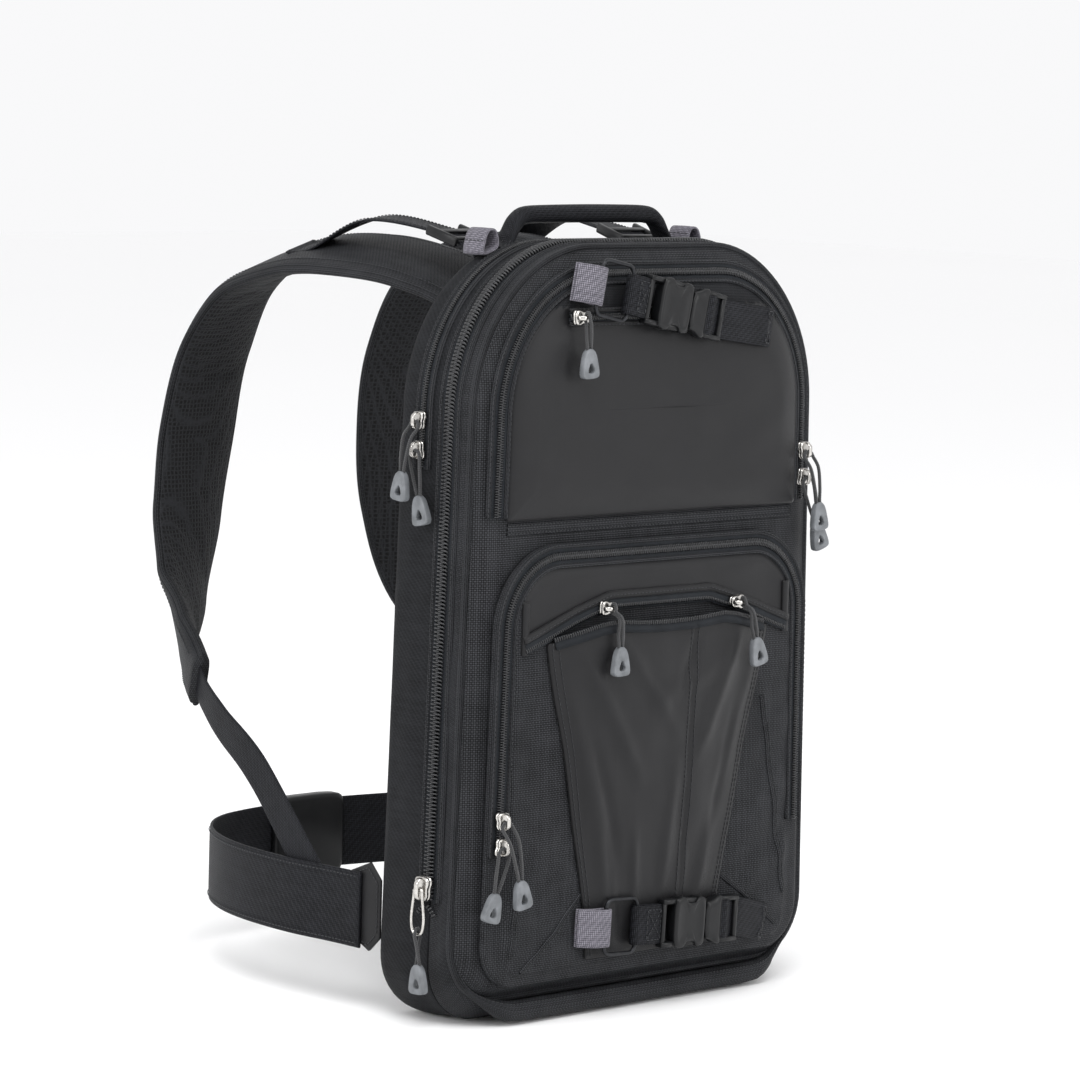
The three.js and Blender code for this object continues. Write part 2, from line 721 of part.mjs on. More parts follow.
// Height of the shell's top skin over a place across the bag
const topSkin = outline(packSpec, 0);
function skinZ(x) {
  const i = topSkin.findIndex(([px], k) => {
    const [qx, qz] = topSkin[(k + 1) % topSkin.length];
    return qz > packHeight - topCornerRadius && px >= x && qx < x;
  });
  const [px, pz] = topSkin[i];
  const [qx, qz] = topSkin[i + 1];
  return pz + ((qz - pz) * (x - px)) / (qx - px);
}

// Carry handle: a wrapped grip with flat feet sewn to the top of the rear shell.
// Columns: distance across and rise over the skin, width and thickness.
const handleDepth = 25;
const handleSpan = 80;
const handleRise = 15;
const gripThickness = 11;
const footThickness = 2.4;
const handleRows = [
  { x: 1, rise: 0, width: 17, thickness: 0 },
  { x: 0.9, rise: 0.02, width: 17, thickness: 0 },
  { x: 0.83, rise: 0.4, width: 15, thickness: 0.35 },
  { x: 0.74, rise: 0.86, width: 13, thickness: 0.8 },
  { x: 0.62, rise: 1, width: 12, thickness: 1 },
];
function handleStation({ x, rise, width, thickness }) {
  const thick = footThickness + (gripThickness - footThickness) * thickness;
  const z = skinZ(x * handleSpan) + gap * 2 + footThickness / 2 + rise * handleRise;
  return { middle: at(x * handleSpan, handleDepth, z), width, thickness: thick };
}
function handleStations() {
  const up = new THREE.Vector3(0, 0, 1);
  const right = handleRows.map(handleStation);
  const left = right.map(({ middle, ...rest }) => ({
    middle: middle.clone().setX(-middle.x),
    ...rest,
  }));
  const outward = new THREE.Vector3(0.35, 0, 1);
  const inward = new THREE.Vector3(-0.35, 0, 1);
  return [...right, ...left.reverse()].map((station, i, all) => {
    const isFoot = i < 2 || i > all.length - 3;
    const lean = i < all.length / 2 ? outward : inward;
    return { ...station, face: isFoot ? lean : up };
  });
}
addMesh("carry_handle", band(handleStations(), paddedSection), webbingBlack);

// Grey loops folded beside the handle's feet
const topLoopWidth = 18;
const topLoopHeight = 13;
function topLoop() {
  const start = handleSpan + 3;
  const foot = skinZ(start) + gap;
  const side = new THREE.Shape([
    new THREE.Vector2(0, 0.6),
    new THREE.Vector2(14, -4.6),
    new THREE.Vector2(14.6, -2),
    new THREE.Vector2(12.4, topLoopHeight * 0.62),
    new THREE.Vector2(9, topLoopHeight),
    new THREE.Vector2(4, topLoopHeight),
    new THREE.Vector2(1, topLoopHeight * 0.62),
  ]);
  side.holes.push(
    polygonHole([
      [2.2, 1.6],
      [12, -1.4],
      [10.2, topLoopHeight * 0.6],
      [8, topLoopHeight - 2],
      [5, topLoopHeight - 2],
      [3, topLoopHeight * 0.6],
    ]),
  );
  const geometry = new THREE.ExtrudeGeometry(side, { depth: topLoopWidth, bevelEnabled: false });
  geometry.rotateX(Math.PI / 2);
  geometry.translate(start, -handleDepth + topLoopWidth / 2, foot + 1.2);
  return mergedIndex(geometry);
}

function mergedIndex(geometry) {
  const bare = geometry.clone();
  bare.deleteAttribute("normal");
  bare.deleteAttribute("uv");
  return mergeVertices(bare, 1e-3);
}
addPair("top_loop", topLoop(), webbingGrey);

// Base roll: a stuffed piping that wraps the front lower edge
const rollRadius = 6.7;
const rollDepth = pipingDepth + 6;
// Columns: distance across as a share of the half width, rise over the base, share of the radius.
const rollRows = [
  { x: 0.81, rise: 8, radius: 0.45 },
  { x: 0.785, rise: 4.6, radius: 0.66 },
  { x: 0.74, rise: 2, radius: 0.95 },
  { x: 0.68, rise: 0.2, radius: 1 },
  { x: 0.3, rise: 0, radius: 1 },
];
function baseRoll() {
  const sides = 10;
  const right = rollRows.map(({ x, rise, radius }) => ({ x: x * halfWidthBase, rise, radius }));
  const left = right.map(({ x, ...rest }) => ({ x: -x, ...rest })).reverse();
  return loft(
    [...right, ...left].map(({ x, rise, radius }) => {
      const ring = [];
      for (let j = 0; j < sides; j++) {
        const turn = (j / sides) * Math.PI * 2;
        const reach = radius * rollRadius;
        const z = rollRadius + rise + Math.sin(turn) * reach;
        ring.push(at(x, rollDepth + Math.cos(turn) * reach, z));
      }
      return ring;
    }),
  );
}
addMesh("base_roll", baseRoll(), ballistic);

// Back pads. Columns of each pad: height of its middle, half height, half width.
const padThickness = rearFaceDepth - gap;
const lumbarPadZ = mountHeight;
const lumbarPadHalfHeight = 65;
const lumbarPadHalfWidth = 138;
const upperPadZ = packHeight - 136;
const upperPadHalfHeight = 46;
const upperPadHalfWidth = 106;
function roundedRing(halfWidth, halfHeight, radius, depth, z) {
  const ring = [];
  for (let corner = 0; corner < 4; corner++) {
    const [sx, sz] = [
      [1, 1],
      [-1, 1],
      [-1, -1],
      [1, -1],
    ][corner];
    for (let i = 0; i <= 3; i++) {
      const turn = (Math.PI / 2) * (corner + i / 3);
      const x = sx * (halfWidth - radius) + Math.cos(turn) * radius;
      ring.push(at(x, depth, z + sz * (halfHeight - radius) + Math.sin(turn) * radius));
    }
  }
  return ring;
}
function backPad(z, halfHeight, halfWidth) {
  return loft([
    roundedRing(halfWidth, halfHeight, 18, padThickness, z),
    roundedRing(halfWidth, halfHeight, 18, padThickness * 0.45, z),
    roundedRing(halfWidth - 3, halfHeight - 3, 15, padThickness * 0.12, z),
    roundedRing(halfWidth - 9, halfHeight - 9, 10, 0, z),
  ]);
}
addMesh("lumbar_pad", backPad(lumbarPadZ, lumbarPadHalfHeight, lumbarPadHalfWidth), padMesh);
addMesh("upper_back_pad", backPad(upperPadZ, upperPadHalfHeight, upperPadHalfWidth), padMesh);

// Shoulder straps: from the back of the bag over the shoulder, down the chest and back under the arm.
// Columns: middle (across, behind the bag, height as a share of the bag's), the way the face that
// looks away from the body points, and width.
const shoulderPadWidth = 66;
const shoulderPadThickness = 12;
const shoulderX = 78;
const chestY = 244;
const shoulderRows = [
  { x: 0.8, y: -0.039, z: 0.845, face: [0, -1, 0.02], width: 0.9 },
  { x: 0.82, y: -0.036, z: 0.885, face: [0, -1, 0.1], width: 0.92 },
  { x: 0.88, y: 0.005, z: 0.93, face: [0.1, -0.8, 0.8], width: 0.95 },
  { x: 0.98, y: 0.14, z: 0.957, face: [0.25, -0.25, 1], width: 1 },
  { x: 1.05, y: 0.36, z: 0.97, face: [0.32, 0, 1], width: 1 },
  { x: 1.1, y: 0.6, z: 0.962, face: [0.32, 0.2, 1], width: 1 },
  { x: 1.12, y: 0.82, z: 0.915, face: [0.25, 0.7, 0.8], width: 1 },
  { x: 1.13, y: 0.95, z: 0.82, face: [0.15, 1, 0.3], width: 1 },
  { x: 1.16, y: 1, z: 0.71, face: [0.12, 1, 0.05], width: 1 },
  { x: 1.25, y: 1, z: 0.6, face: [0.2, 1, 0], width: 1 },
  { x: 1.42, y: 0.95, z: 0.5, face: [0.4, 1, 0], width: 1 },
  { x: 1.62, y: 0.85, z: 0.43, face: [0.75, 0.85, 0], width: 0.9 },
  { x: 1.76, y: 0.74, z: 0.385, face: [1, 0.6, 0], width: 0.62 },
];
function strapStation({ x, y, z, face, width }, size, thickness) {
  return {
    middle: new THREE.Vector3(x * shoulderX, y * chestY, z * packHeight),
    face: new THREE.Vector3(...face),
    width: width * size,
    thickness,
  };
}
const shoulderStations = shoulderRows.map((row) =>
  strapStation(row, shoulderPadWidth, shoulderPadThickness),
);
addPair("shoulder_strap", band(shoulderStations, paddedSection), ballistic);

// Corner tab and lower webbing: the webbing leaves the pad's end and runs back to the tab that is
// sewn to the bag's lower corner.
const tabX = halfWidthBase - 6;
const tabTop = 97;
const tabBase = 32;
const tabTipZ = 66;
const tabTipY = 29;
const tabThickness = 2.4;
const lowerWebRows = [
  { x: 1.87, y: 0.6, z: 0.335, face: [1, 0.4, 0], width: 1 },
  { x: 1.94, y: 0.42, z: 0.28, face: [1, 0.12, 0], width: 1 },
];
function cornerTab() {
  const shape = polygon([
    [-rearFaceDepth - gap, tabBase],
    [-rearFaceDepth - gap, tabTop],
    [tabTipY, tabTipZ + 12],
    [tabTipY, tabTipZ - 12],
  ]);
  const tab = new THREE.ExtrudeGeometry(shape, { depth: tabThickness, bevelEnabled: false });
  // The side view's axes become y and z, and the thickness goes across.
  tab.applyMatrix4(new THREE.Matrix4().set(0, 0, 1, tabX, 1, 0, 0, 0, 0, 1, 0, 0, 0, 0, 0, 1));
  const [padBefore, padEnd] = shoulderStations.slice(-2);
  const away = padEnd.middle.clone().sub(padBefore.middle).normalize();
  const rows = lowerWebRows.map((row) => strapStation(row, strapWebWidth, webThickness));
  const leaving = { face: padEnd.face, width: strapWebWidth, thickness: webThickness };
  const stations = [
    { ...leaving, middle: padEnd.middle.clone().addScaledVector(away, gap) },
    { ...leaving, middle: padEnd.middle.clone().addScaledVector(away, strapWebWidth / 2) },
    ...rows,
  ];
  const sideways = new THREE.Vector3(1, 0, 0);
  const end = { face: sideways, width: strapWebWidth, thickness: webThickness };
  const webX = tabX + tabThickness / 2;
  stations.push({ ...end, middle: new THREE.Vector3(webX, tabTipY + 14, tabTipZ + 7) });
  stations.push({ ...end, middle: new THREE.Vector3(webX, tabTipY - 4, tabTipZ) });
  return joined(tab, band(stations));
}
addPair("lower_strap", cornerTab(), smoothNylon);

// Load lifters: webbing from the top of the shoulder pad to a ladder lock and down to the bag.
const lifterWidth = 25;
const lifterRows = [
  { x: 1.127, y: 0.6055, z: 0.9764, face: [0.32, 0.15, 1] },
  { x: 1.115, y: 0.544, z: 0.9786, face: [0.32, 0.1, 1] },
  { x: 1.04, y: 0.34, z: 1.02, face: [0.1, 0, 1] },
  { x: 0.98, y: 0.1, z: 1.01, face: [0, 0, 1] },
  { x: 0.95, y: 0, z: 0.996, face: [0, -0.1, 1] },
  { x: 0.94, y: -0.046, z: 0.988, face: [0, -0.6, 1] },
  { x: 0.94, y: -0.0607, z: 0.974, face: [0, -1, 0.2] },
];
const lifterStations = lifterRows.map((row) =>
  strapStation({ ...row, width: 1 }, lifterWidth, webThickness),
);
addPair("load_lifter", band(lifterStations), webbingBlack);

const lockLength = 26;
const lockWidth = 33;
const lockThickness = 6.5;
function ladderLock() {
  const frame = new THREE.Shape([
    new THREE.Vector2(-lockWidth / 2, -lockThickness / 2),
    new THREE.Vector2(lockWidth / 2, -lockThickness / 2),
    new THREE.Vector2(lockWidth / 2 - 1, lockThickness / 2),
    new THREE.Vector2(-lockWidth / 2 + 1, lockThickness / 2),
  ]);
  const [slotU, slotV] = [lifterWidth / 2 + gap, webThickness / 2 + gap * 1.6];
  frame.holes.push(
    polygonHole([
      [-slotU, -slotV],
      [-slotU, slotV],
      [slotU, slotV],
      [slotU, -slotV],
    ]),
  );
  const lock = new THREE.ExtrudeGeometry(frame, { depth: lockLength, bevelEnabled: false });
  lock.translate(0, 0, -lockLength / 2);
  const [from, to] = [lifterStations[4].middle, lifterStations[3].middle];
  const along = to.clone().sub(from).normalize();
  const side = new THREE.Vector3(1, 0, 0).addScaledVector(along, -along.x).normalize();
  const away = new THREE.Vector3().crossVectors(along, side);
  lock.applyMatrix4(new THREE.Matrix4().makeBasis(side, away, along));
  const middle = from.clone().lerp(to, 0.5);
  lock.translate(middle.x, middle.y, middle.z);
  return mergedIndex(lock);
}
addPair("ladder_lock", ladderLock(), acetal);

// Waist belt: one loop of webbing round the waist, closed in front by a plain clasp
const waistDepth = 228;
const beltZ = 62;
const beltThickness = 2.4;
const claspWidth = 62;
// Columns: across as a share of the tab's distance, behind the bag as a share of the waist's depth.
const beltRows = [
  { x: 1, y: 0, face: [1, 0, 0] },
  { x: 1, y: 0.12, face: [1, 0, 0] },
  { x: 1.01, y: 0.3, face: [1, 0, 0] },
  { x: 0.97, y: 0.52, face: [1, 0.15, 0] },
  { x: 0.88, y: 0.7, face: [1, 0.5, 0] },
  { x: 0.73, y: 0.85, face: [0.8, 0.8, 0] },
  { x: 0.52, y: 0.95, face: [0.4, 1, 0] },
];
function beltSide() {
  const outside = tabX + tabThickness + gap + beltThickness / 2;
  const stations = beltRows.map(({ x, y, face }) => ({
    middle: new THREE.Vector3(x * outside, y * waistDepth, beltZ),
    face: new THREE.Vector3(...face),
    width: beltWebWidth,
    thickness: beltThickness,
  }));
  stations.push({
    middle: new THREE.Vector3(claspWidth / 2 + gap, waistDepth, beltZ),
    face: new THREE.Vector3(0, 1, 0),
    width: beltWebWidth,
    thickness: beltThickness,
  });
  return band(stations);
}
addPair("waist_belt", beltSide(), webbingBlack);

function clasp() {
  const ring = (half, reach, depth) =>
    roundedRing(half, reach, 8, -depth, beltZ);
  return loft([
    ring(claspWidth / 2 - 2, beltWebWidth / 2 + 1, waistDepth - 5),
    ring(claspWidth / 2, beltWebWidth / 2 + 4, waistDepth - 3),
    ring(claspWidth / 2, beltWebWidth / 2 + 4, waistDepth + 4),
    ring(claspWidth / 2 - 3, beltWebWidth / 2, waistDepth + 7),
  ]);
}
addMesh("belt_clasp", clasp(), acetal);

// Tripod straps. Each runs through a chain: a grey loop sewn to the bag, a wire hook, webbing, a
// fastened buckle and the webbing's sewn end. Points are across and up, in the front plane.
const hookWire = 2.6;
const hookLength = 30;
const hookHeight = 37;
const buckleLength = 68;
const buckleWidth = 33;
const buckleThickness = 9;

// A frame of wire, seen from the front
function wireFrame(length, height, wire) {
  const [u, v] = [length / 2, height / 2];
  const corner = 4;
  const shape = new THREE.Shape([
    new THREE.Vector2(-u + corner, -v),
    new THREE.Vector2(u - corner, -v),
    new THREE.Vector2(u, -v + corner),
    new THREE.Vector2(u, v - corner),
    new THREE.Vector2(u - corner, v),
    new THREE.Vector2(-u + corner, v),
    new THREE.Vector2(-u, v - corner),
    new THREE.Vector2(-u, -v + corner),
  ]);
  const [p, q] = [u - wire, v - wire];
  const inner = corner - wire * 0.6;
  shape.holes.push(
    polygonHole([
      [-p + inner, -q],
      [-p, -q + inner],
      [-p, q - inner],
      [-p + inner, q],
      [p - inner, q],
      [p, q - inner],
      [p, -q + inner],
      [p - inner, -q],
    ]),
  );
  const geometry = new THREE.ExtrudeGeometry(shape, { depth: wire, bevelEnabled: false });
  geometry.translate(0, 0, -wire / 2);
  return mergedIndex(geometry);
}

// Webbing folded round a bar at the far end: from the start, round the bar and back.
// Local frame: x along the chain, y up the face, z away from the cloth. The bar crosses the origin.
// The near layer is on the cloth's side, or on the outer side where side is -1.
function foldedWeb(length, width, sink, side = 1) {
  const reach = hookWire * 0.71 + gap + webThickness / 2 + 0.1;
  const stations = [];
  const push = (x, z, fx, fz) => {
    const middle = new THREE.Vector3(x, 0, z * side);
    const face = new THREE.Vector3(fx * side, 0, fz);
    stations.push({ middle, face, width, thickness: webThickness });
  };
  push(-length, -sink, 0, 1);
  push(-length * 0.62, -reach - Math.min(sink * 0.1, 0.3), 0, 1);
  for (let i = 0; i <= 6; i++) {
    const turn = -Math.PI / 2 + (Math.PI * i) / 6;
    push(Math.cos(turn) * reach, Math.sin(turn) * reach, -Math.cos(turn), -Math.sin(turn));
  }
  push(-length * 0.5, reach - 0.6, 0, -1);
  return band(stations);
}

// Fastened buckle, seen from the front, with its side windows
function buckleGeometry() {
  const [u, v] = [buckleLength / 2, buckleWidth / 2];
  const half = [
    [-u, v - 1],
    [-u * 0.55, v],
    [-u * 0.1, v],
    [u * 0.05, v - 3],
    [u * 0.3, v - 3],
    [u * 0.42, v - 1],
    [u, v - 2],
  ];
  const low = half.map(([x, y]) => [x, -y]).reverse();
  const body = new THREE.ExtrudeGeometry(polygon([...half, ...low]), {
    depth: buckleThickness - 2.4,
    bevelEnabled: true,
    bevelThickness: 1.2,
    bevelSize: 1,
    bevelOffset: -1,
    bevelSegments: 1,
  });
  body.translate(0, 0, -buckleThickness / 2 + 1.2);
  return mergedIndex(body);
}

// Places a chain piece: its point in the front plane, its depth and the chain's slope.
function inFront(geometry, x, depth, z, slope) {
  return placed(geometry, at(x, depth, z), front, slope);
}

// Columns: where the grey loop holds the hook, the chain's slope, depths of the sewn ends, the
// hook and the buckle, lengths of loop and webbing, and where the far end is sewn.
const tripodChains = [
  {
    name: "upper",
    bar: { x: -0.42, z: packHeight - 23 },
    slope: -0.2,
    sewnDepth: upperZipBase + zipCoilHeight + 2 * gap + webThickness / 2,
    hookDepth: upperFace + zipCoilHeight + 4.3,
    buckleDepth: upperFace + zipCoilHeight + buckleThickness / 2 + 0.6,
    loopLength: 14,
    webLength: 13,
    overDepth: upperFace + zipCoilHeight + 1.8,
    end: { x: 0.6, z: packHeight - 52, depth: upperFace + 1.1 },
  },
  {
    name: "lower",
    bar: { x: -0.3, z: 56 },
    slope: -0.05,
    sewnDepth: lowerFace + 1.1,
    hookDepth: lowerFace + 7.8,
    buckleDepth: lowerFace + 9,
    loopLength: 20,
    webLength: 20,
    overDepth: lowerFace + 4,
    end: { x: 0.66, z: 42, depth: lowerFace + 1.1 },
  },
];
for (const chain of tripodChains) {
  const { name, slope, hookDepth, buckleDepth, webLength } = chain;
  const bar = new THREE.Vector2(chain.bar.x * halfWidthBase, chain.bar.z);
  const along = (distance) =>
    new THREE.Vector2(bar.x + Math.cos(slope) * distance, bar.y + Math.sin(slope) * distance);
  const loop = foldedWeb(chain.loopLength, strapWebWidth - 1, hookDepth - chain.sewnDepth);
  addMesh(`${name}_grey_loop`, inFront(loop, bar.x, hookDepth, bar.y, slope), webbingGrey);
  const barGap = hookLength - hookWire;
  const hookMiddle = along(barGap / 2);
  const hook = wireFrame(hookLength, hookHeight, hookWire);
  addMesh(`${name}_hook`, inFront(hook, hookMiddle.x, hookDepth, hookMiddle.y, slope), acetal);
  const farBar = along(barGap);
  const web = foldedWeb(webLength, strapWebWidth, hookDepth - buckleDepth + 3, -1);
  const turned = slope + Math.PI;
  addMesh(`${name}_web`, inFront(web, farBar.x, hookDepth, farBar.y, turned), webbingBlack);
  const buckleMiddle = along(barGap + webLength + gap + buckleLength / 2);
  const buckle = inFront(buckleGeometry(), buckleMiddle.x, buckleDepth, buckleMiddle.y, slope);
  addMesh(`${name}_buckle`, buckle, acetal);
  const tailStart = along(barGap + webLength + 2 * gap + buckleLength);
  const tailBend = along(barGap + webLength + buckleLength + 5);
  const tailEnd = new THREE.Vector2(chain.end.x * halfWidthBase, chain.end.z);
  const tailDown = tailBend.clone().lerp(tailEnd, 0.84);
  const stop = { face: front, width: strapWebWidth, thickness: webThickness };
  const tail = band([
    { ...stop, middle: at(tailStart.x, buckleDepth, tailStart.y) },
    { ...stop, middle: at(tailBend.x, buckleDepth - 0.4, tailBend.y) },
    { ...stop, middle: at(tailDown.x, chain.overDepth, tailDown.y) },
    { ...stop, middle: at(tailEnd.x, chain.end.depth, tailEnd.y) },
  ]);
  addMesh(`${name}_tail`, tail, webbingBlack);
}

group.position.set(0, 0, -mountHeight);
export default group;
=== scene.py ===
import math

import bpy
from mathutils import Matrix, Vector, bvhtree, noise


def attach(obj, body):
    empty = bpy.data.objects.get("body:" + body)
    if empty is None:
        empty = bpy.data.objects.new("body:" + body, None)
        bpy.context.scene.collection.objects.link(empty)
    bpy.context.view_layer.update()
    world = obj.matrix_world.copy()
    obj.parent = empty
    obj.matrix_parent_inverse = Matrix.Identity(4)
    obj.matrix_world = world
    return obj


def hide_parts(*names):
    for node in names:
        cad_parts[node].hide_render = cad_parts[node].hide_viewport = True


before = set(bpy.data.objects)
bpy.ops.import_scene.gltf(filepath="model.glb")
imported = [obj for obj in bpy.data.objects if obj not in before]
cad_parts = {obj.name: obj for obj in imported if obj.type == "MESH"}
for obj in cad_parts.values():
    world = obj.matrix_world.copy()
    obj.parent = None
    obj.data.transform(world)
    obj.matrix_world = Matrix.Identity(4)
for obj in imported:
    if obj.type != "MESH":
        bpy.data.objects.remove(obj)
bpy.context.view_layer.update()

# The view
# The picture is taken from the bag's left front with a long lens, a little above its middle, and the
# bag is worn, so it stands clear of everything. The floor is a plain pale sheet under it.
MOUNT_HEIGHT = 216


def spot(across, depth, height):
    """A place on the bag, in mm: across, forward of the wearer's back and over the base. In metres."""
    return Vector((across, -depth, height - MOUNT_HEIGHT)) / 1000


turn, tilt, roll = (math.radians(angle) for angle in (-44.17, 6.03, 1.67))
forward = Vector((-math.sin(turn) * math.cos(tilt), math.cos(turn) * math.cos(tilt), -math.sin(tilt)))
level = forward.cross(Vector((0, 0, 1))).normalized()
upright = level.cross(forward)
right = level * math.cos(roll) + upright * math.sin(roll)
above = upright * math.cos(roll) - level * math.sin(roll)
camera = bpy.data.objects.new("camera", bpy.data.cameras.new("camera"))
camera.data.sensor_width = 36
camera.data.lens = 155.93
camera.data.clip_start = 0.1
camera.data.clip_end = 50
looking = Matrix((right, above, -forward)).transposed().to_4x4()
camera.matrix_world = Matrix.Translation((-2.079, -2.132, 0.384)) @ looking
bpy.context.scene.collection.objects.link(camera)
bpy.context.scene.camera = camera
bpy.context.scene.view_settings.view_transform = "Standard"


def rgb(sheet_colour):
    """A colour from its sRGB hex value, turned to linear for the shader."""
    value = sheet_colour.lstrip("#")
    channels = [int(value[i:i + 2], 16) / 255 for i in (0, 2, 4)]
    return [c / 12.92 if c <= 0.04045 else ((c + 0.055) / 1.055) ** 2.4 for c in channels] + [1.0]


def add_node(tree, kind, feeds=None, **settings):
    """One shader node with its settings; a feed is a number, a colour, a socket or another node."""
    made = tree.nodes.new(kind)
    for name, value in settings.items():
        setattr(made, name, value)
    for name, value in (feeds or {}).items():
        if isinstance(value, bpy.types.Node):
            value = value.outputs[0]
        if isinstance(value, bpy.types.NodeSocket):
            tree.links.new(value, made.inputs[name])
        else:
            made.inputs[name].default_value = value
    return made


def two_tones(tree, share, first, last, first_at=0.0, last_at=1.0):
    """A ramp from one sRGB hex colour to another, along the value of a node."""
    ramp = add_node(tree, "ShaderNodeValToRGB", {"Fac": share})
    for end, colour, at in zip(ramp.color_ramp.elements, (first, last), (first_at, last_at)):
        end.color, end.position = rgb(colour), at
    return ramp


def new_finish(name):
    """An empty material with its shader: the tree, and the shader node."""
    finish = bpy.data.materials.new(name)
    finish.use_nodes = True
    return finish, finish.node_tree, finish.node_tree.nodes["Principled BSDF"]


world = bpy.data.worlds.new("studio")
world.use_nodes = True
world.node_tree.nodes["Background"].inputs["Color"].default_value = rgb("#fbfbfc")
world.node_tree.nodes["Background"].inputs["Strength"].default_value = 0.98
bpy.context.scene.world = world
LAMPS = [
    {"name": "overhead_box", "at": (-1.1, -1.3, 2.4), "size": 1.8, "watts": 46},
    {"name": "front_box", "at": (0.9, -2.6, 0.9), "size": 1.4, "watts": 20},
    {"name": "side_box", "at": (-2.6, 0.3, 0.8), "size": 1.2, "watts": 20},
]
for lamp in LAMPS:
    light = bpy.data.lights.new(lamp["name"], "AREA")
    light.shape = "DISK"
    light.size = lamp["size"]
    light.energy = lamp["watts"]
    holder = bpy.data.objects.new(lamp["name"], light)
    holder.location = lamp["at"]
    holder.rotation_euler = (Vector((0, 0, 0)) - holder.location).to_track_quat("-Z", "Y").to_euler()
    bpy.context.scene.collection.objects.link(holder)

paper, tree, shader = new_finish("floor_paper")
mottle = add_node(tree, "ShaderNodeTexNoise", {"Scale": 6.0, "Detail": 3.0})
ramp = two_tones(tree, mottle, "#fcfcfc", "#ffffff")
tree.links.new(ramp.outputs[0], shader.inputs["Base Color"])
shader.inputs["Roughness"].default_value = 0.9
floor_mesh = bpy.data.meshes.new("floor")
reach, ground = 9.0, -0.2175
floor_mesh.from_pydata([(x * reach, y * reach, ground) for x, y in ((-1, -1), (1, -1), (1, 1), (-1, 1))],
                       [], [(0, 1, 2, 3)])
floor_mesh.materials.append(paper)
floor = bpy.data.objects.new("floor", floor_mesh)
bpy.context.scene.collection.objects.link(floor)

# Pull cords and tags
# Each slider is pulled by a loop of 2.2 mm braided polyester cord that ends in a moulded tag of soft
# grey rubber with a triangular window. The loop hangs from the slider's bridge.
CORD = 2.2
TAG_TOP, TAG_FOOT, TAG_HEIGHT, TAG_THICKNESS = 8.0, 14.5, 18.5, 4.6
PACK_HEIGHT = 478
HALF_BASE, HALF_TOP = 156.5, 146
LAPTOP_ZIP, SHELL_SPLIT = 41, 64
LAPTOP_END = PACK_HEIGHT - 137
MID_SEAM = PACK_HEIGHT - 166
POCKET_TOP = MID_SEAM - 15
POCKET_MARGIN = 15
POCKET_HALF = HALF_BASE - POCKET_MARGIN
UPPER_FACE, LOWER_FACE = 98.3, 100.3
UPPER_ZIP_BASE, LOWER_ZIP_BASE = 91.55, 97.9
ORGANISER_Z = PACK_HEIGHT - 42
ORGANISER_HALF = HALF_BASE * 0.537
COIL_TOP = 2.9
LEFT_SIDE, FRONT = Vector((-1, 0, 0)), Vector((0, -1, 0))


def half_width(height):
    """The bag's half width over the base, in mm: it narrows towards its top."""
    return HALF_BASE + (HALF_TOP - HALF_BASE) * height / PACK_HEIGHT


def facing(away, turned=0.0):
    """Local axes for what sits on a face: x across it, y up it and z away from it."""
    across = Vector((0, 0, 1)).cross(away).normalized()
    along = away.cross(across)
    return Matrix((across, along, away)).transposed().to_4x4() @ Matrix.Rotation(turned, 4, "Z")


def smooth_line(points, count):
    """Evenly spaced points on a smooth curve through the given ones."""
    fine = []
    for i in range(len(points) - 1):
        a, b = points[max(i - 1, 0)], points[i]
        c, d = points[i + 1], points[min(i + 2, len(points) - 1)]
        for k in range(16):
            t = k / 16
            fine.append(0.5 * (2 * b + (c - a) * t + (2 * a - 5 * b + 4 * c - d) * t ** 2
                               + (3 * b - a - 3 * c + d) * t ** 3))
    fine.append(points[-1])
    return even_line(fine, count)


def even_line(points, count):
    """The same line with its points at equal distances."""
    lengths = [0.0]
    for a, b in zip(points, points[1:]):
        lengths.append(lengths[-1] + (b - a).length)
    spaced, i = [], 0
    for k in range(count):
        wanted = lengths[-1] * k / (count - 1)
        while i < len(points) - 2 and lengths[i + 1] < wanted:
            i += 1
        share = (wanted - lengths[i]) / max(lengths[i + 1] - lengths[i], 1e-12)
        spaced.append(points[i].lerp(points[i + 1], min(share, 1.0)))
    return spaced


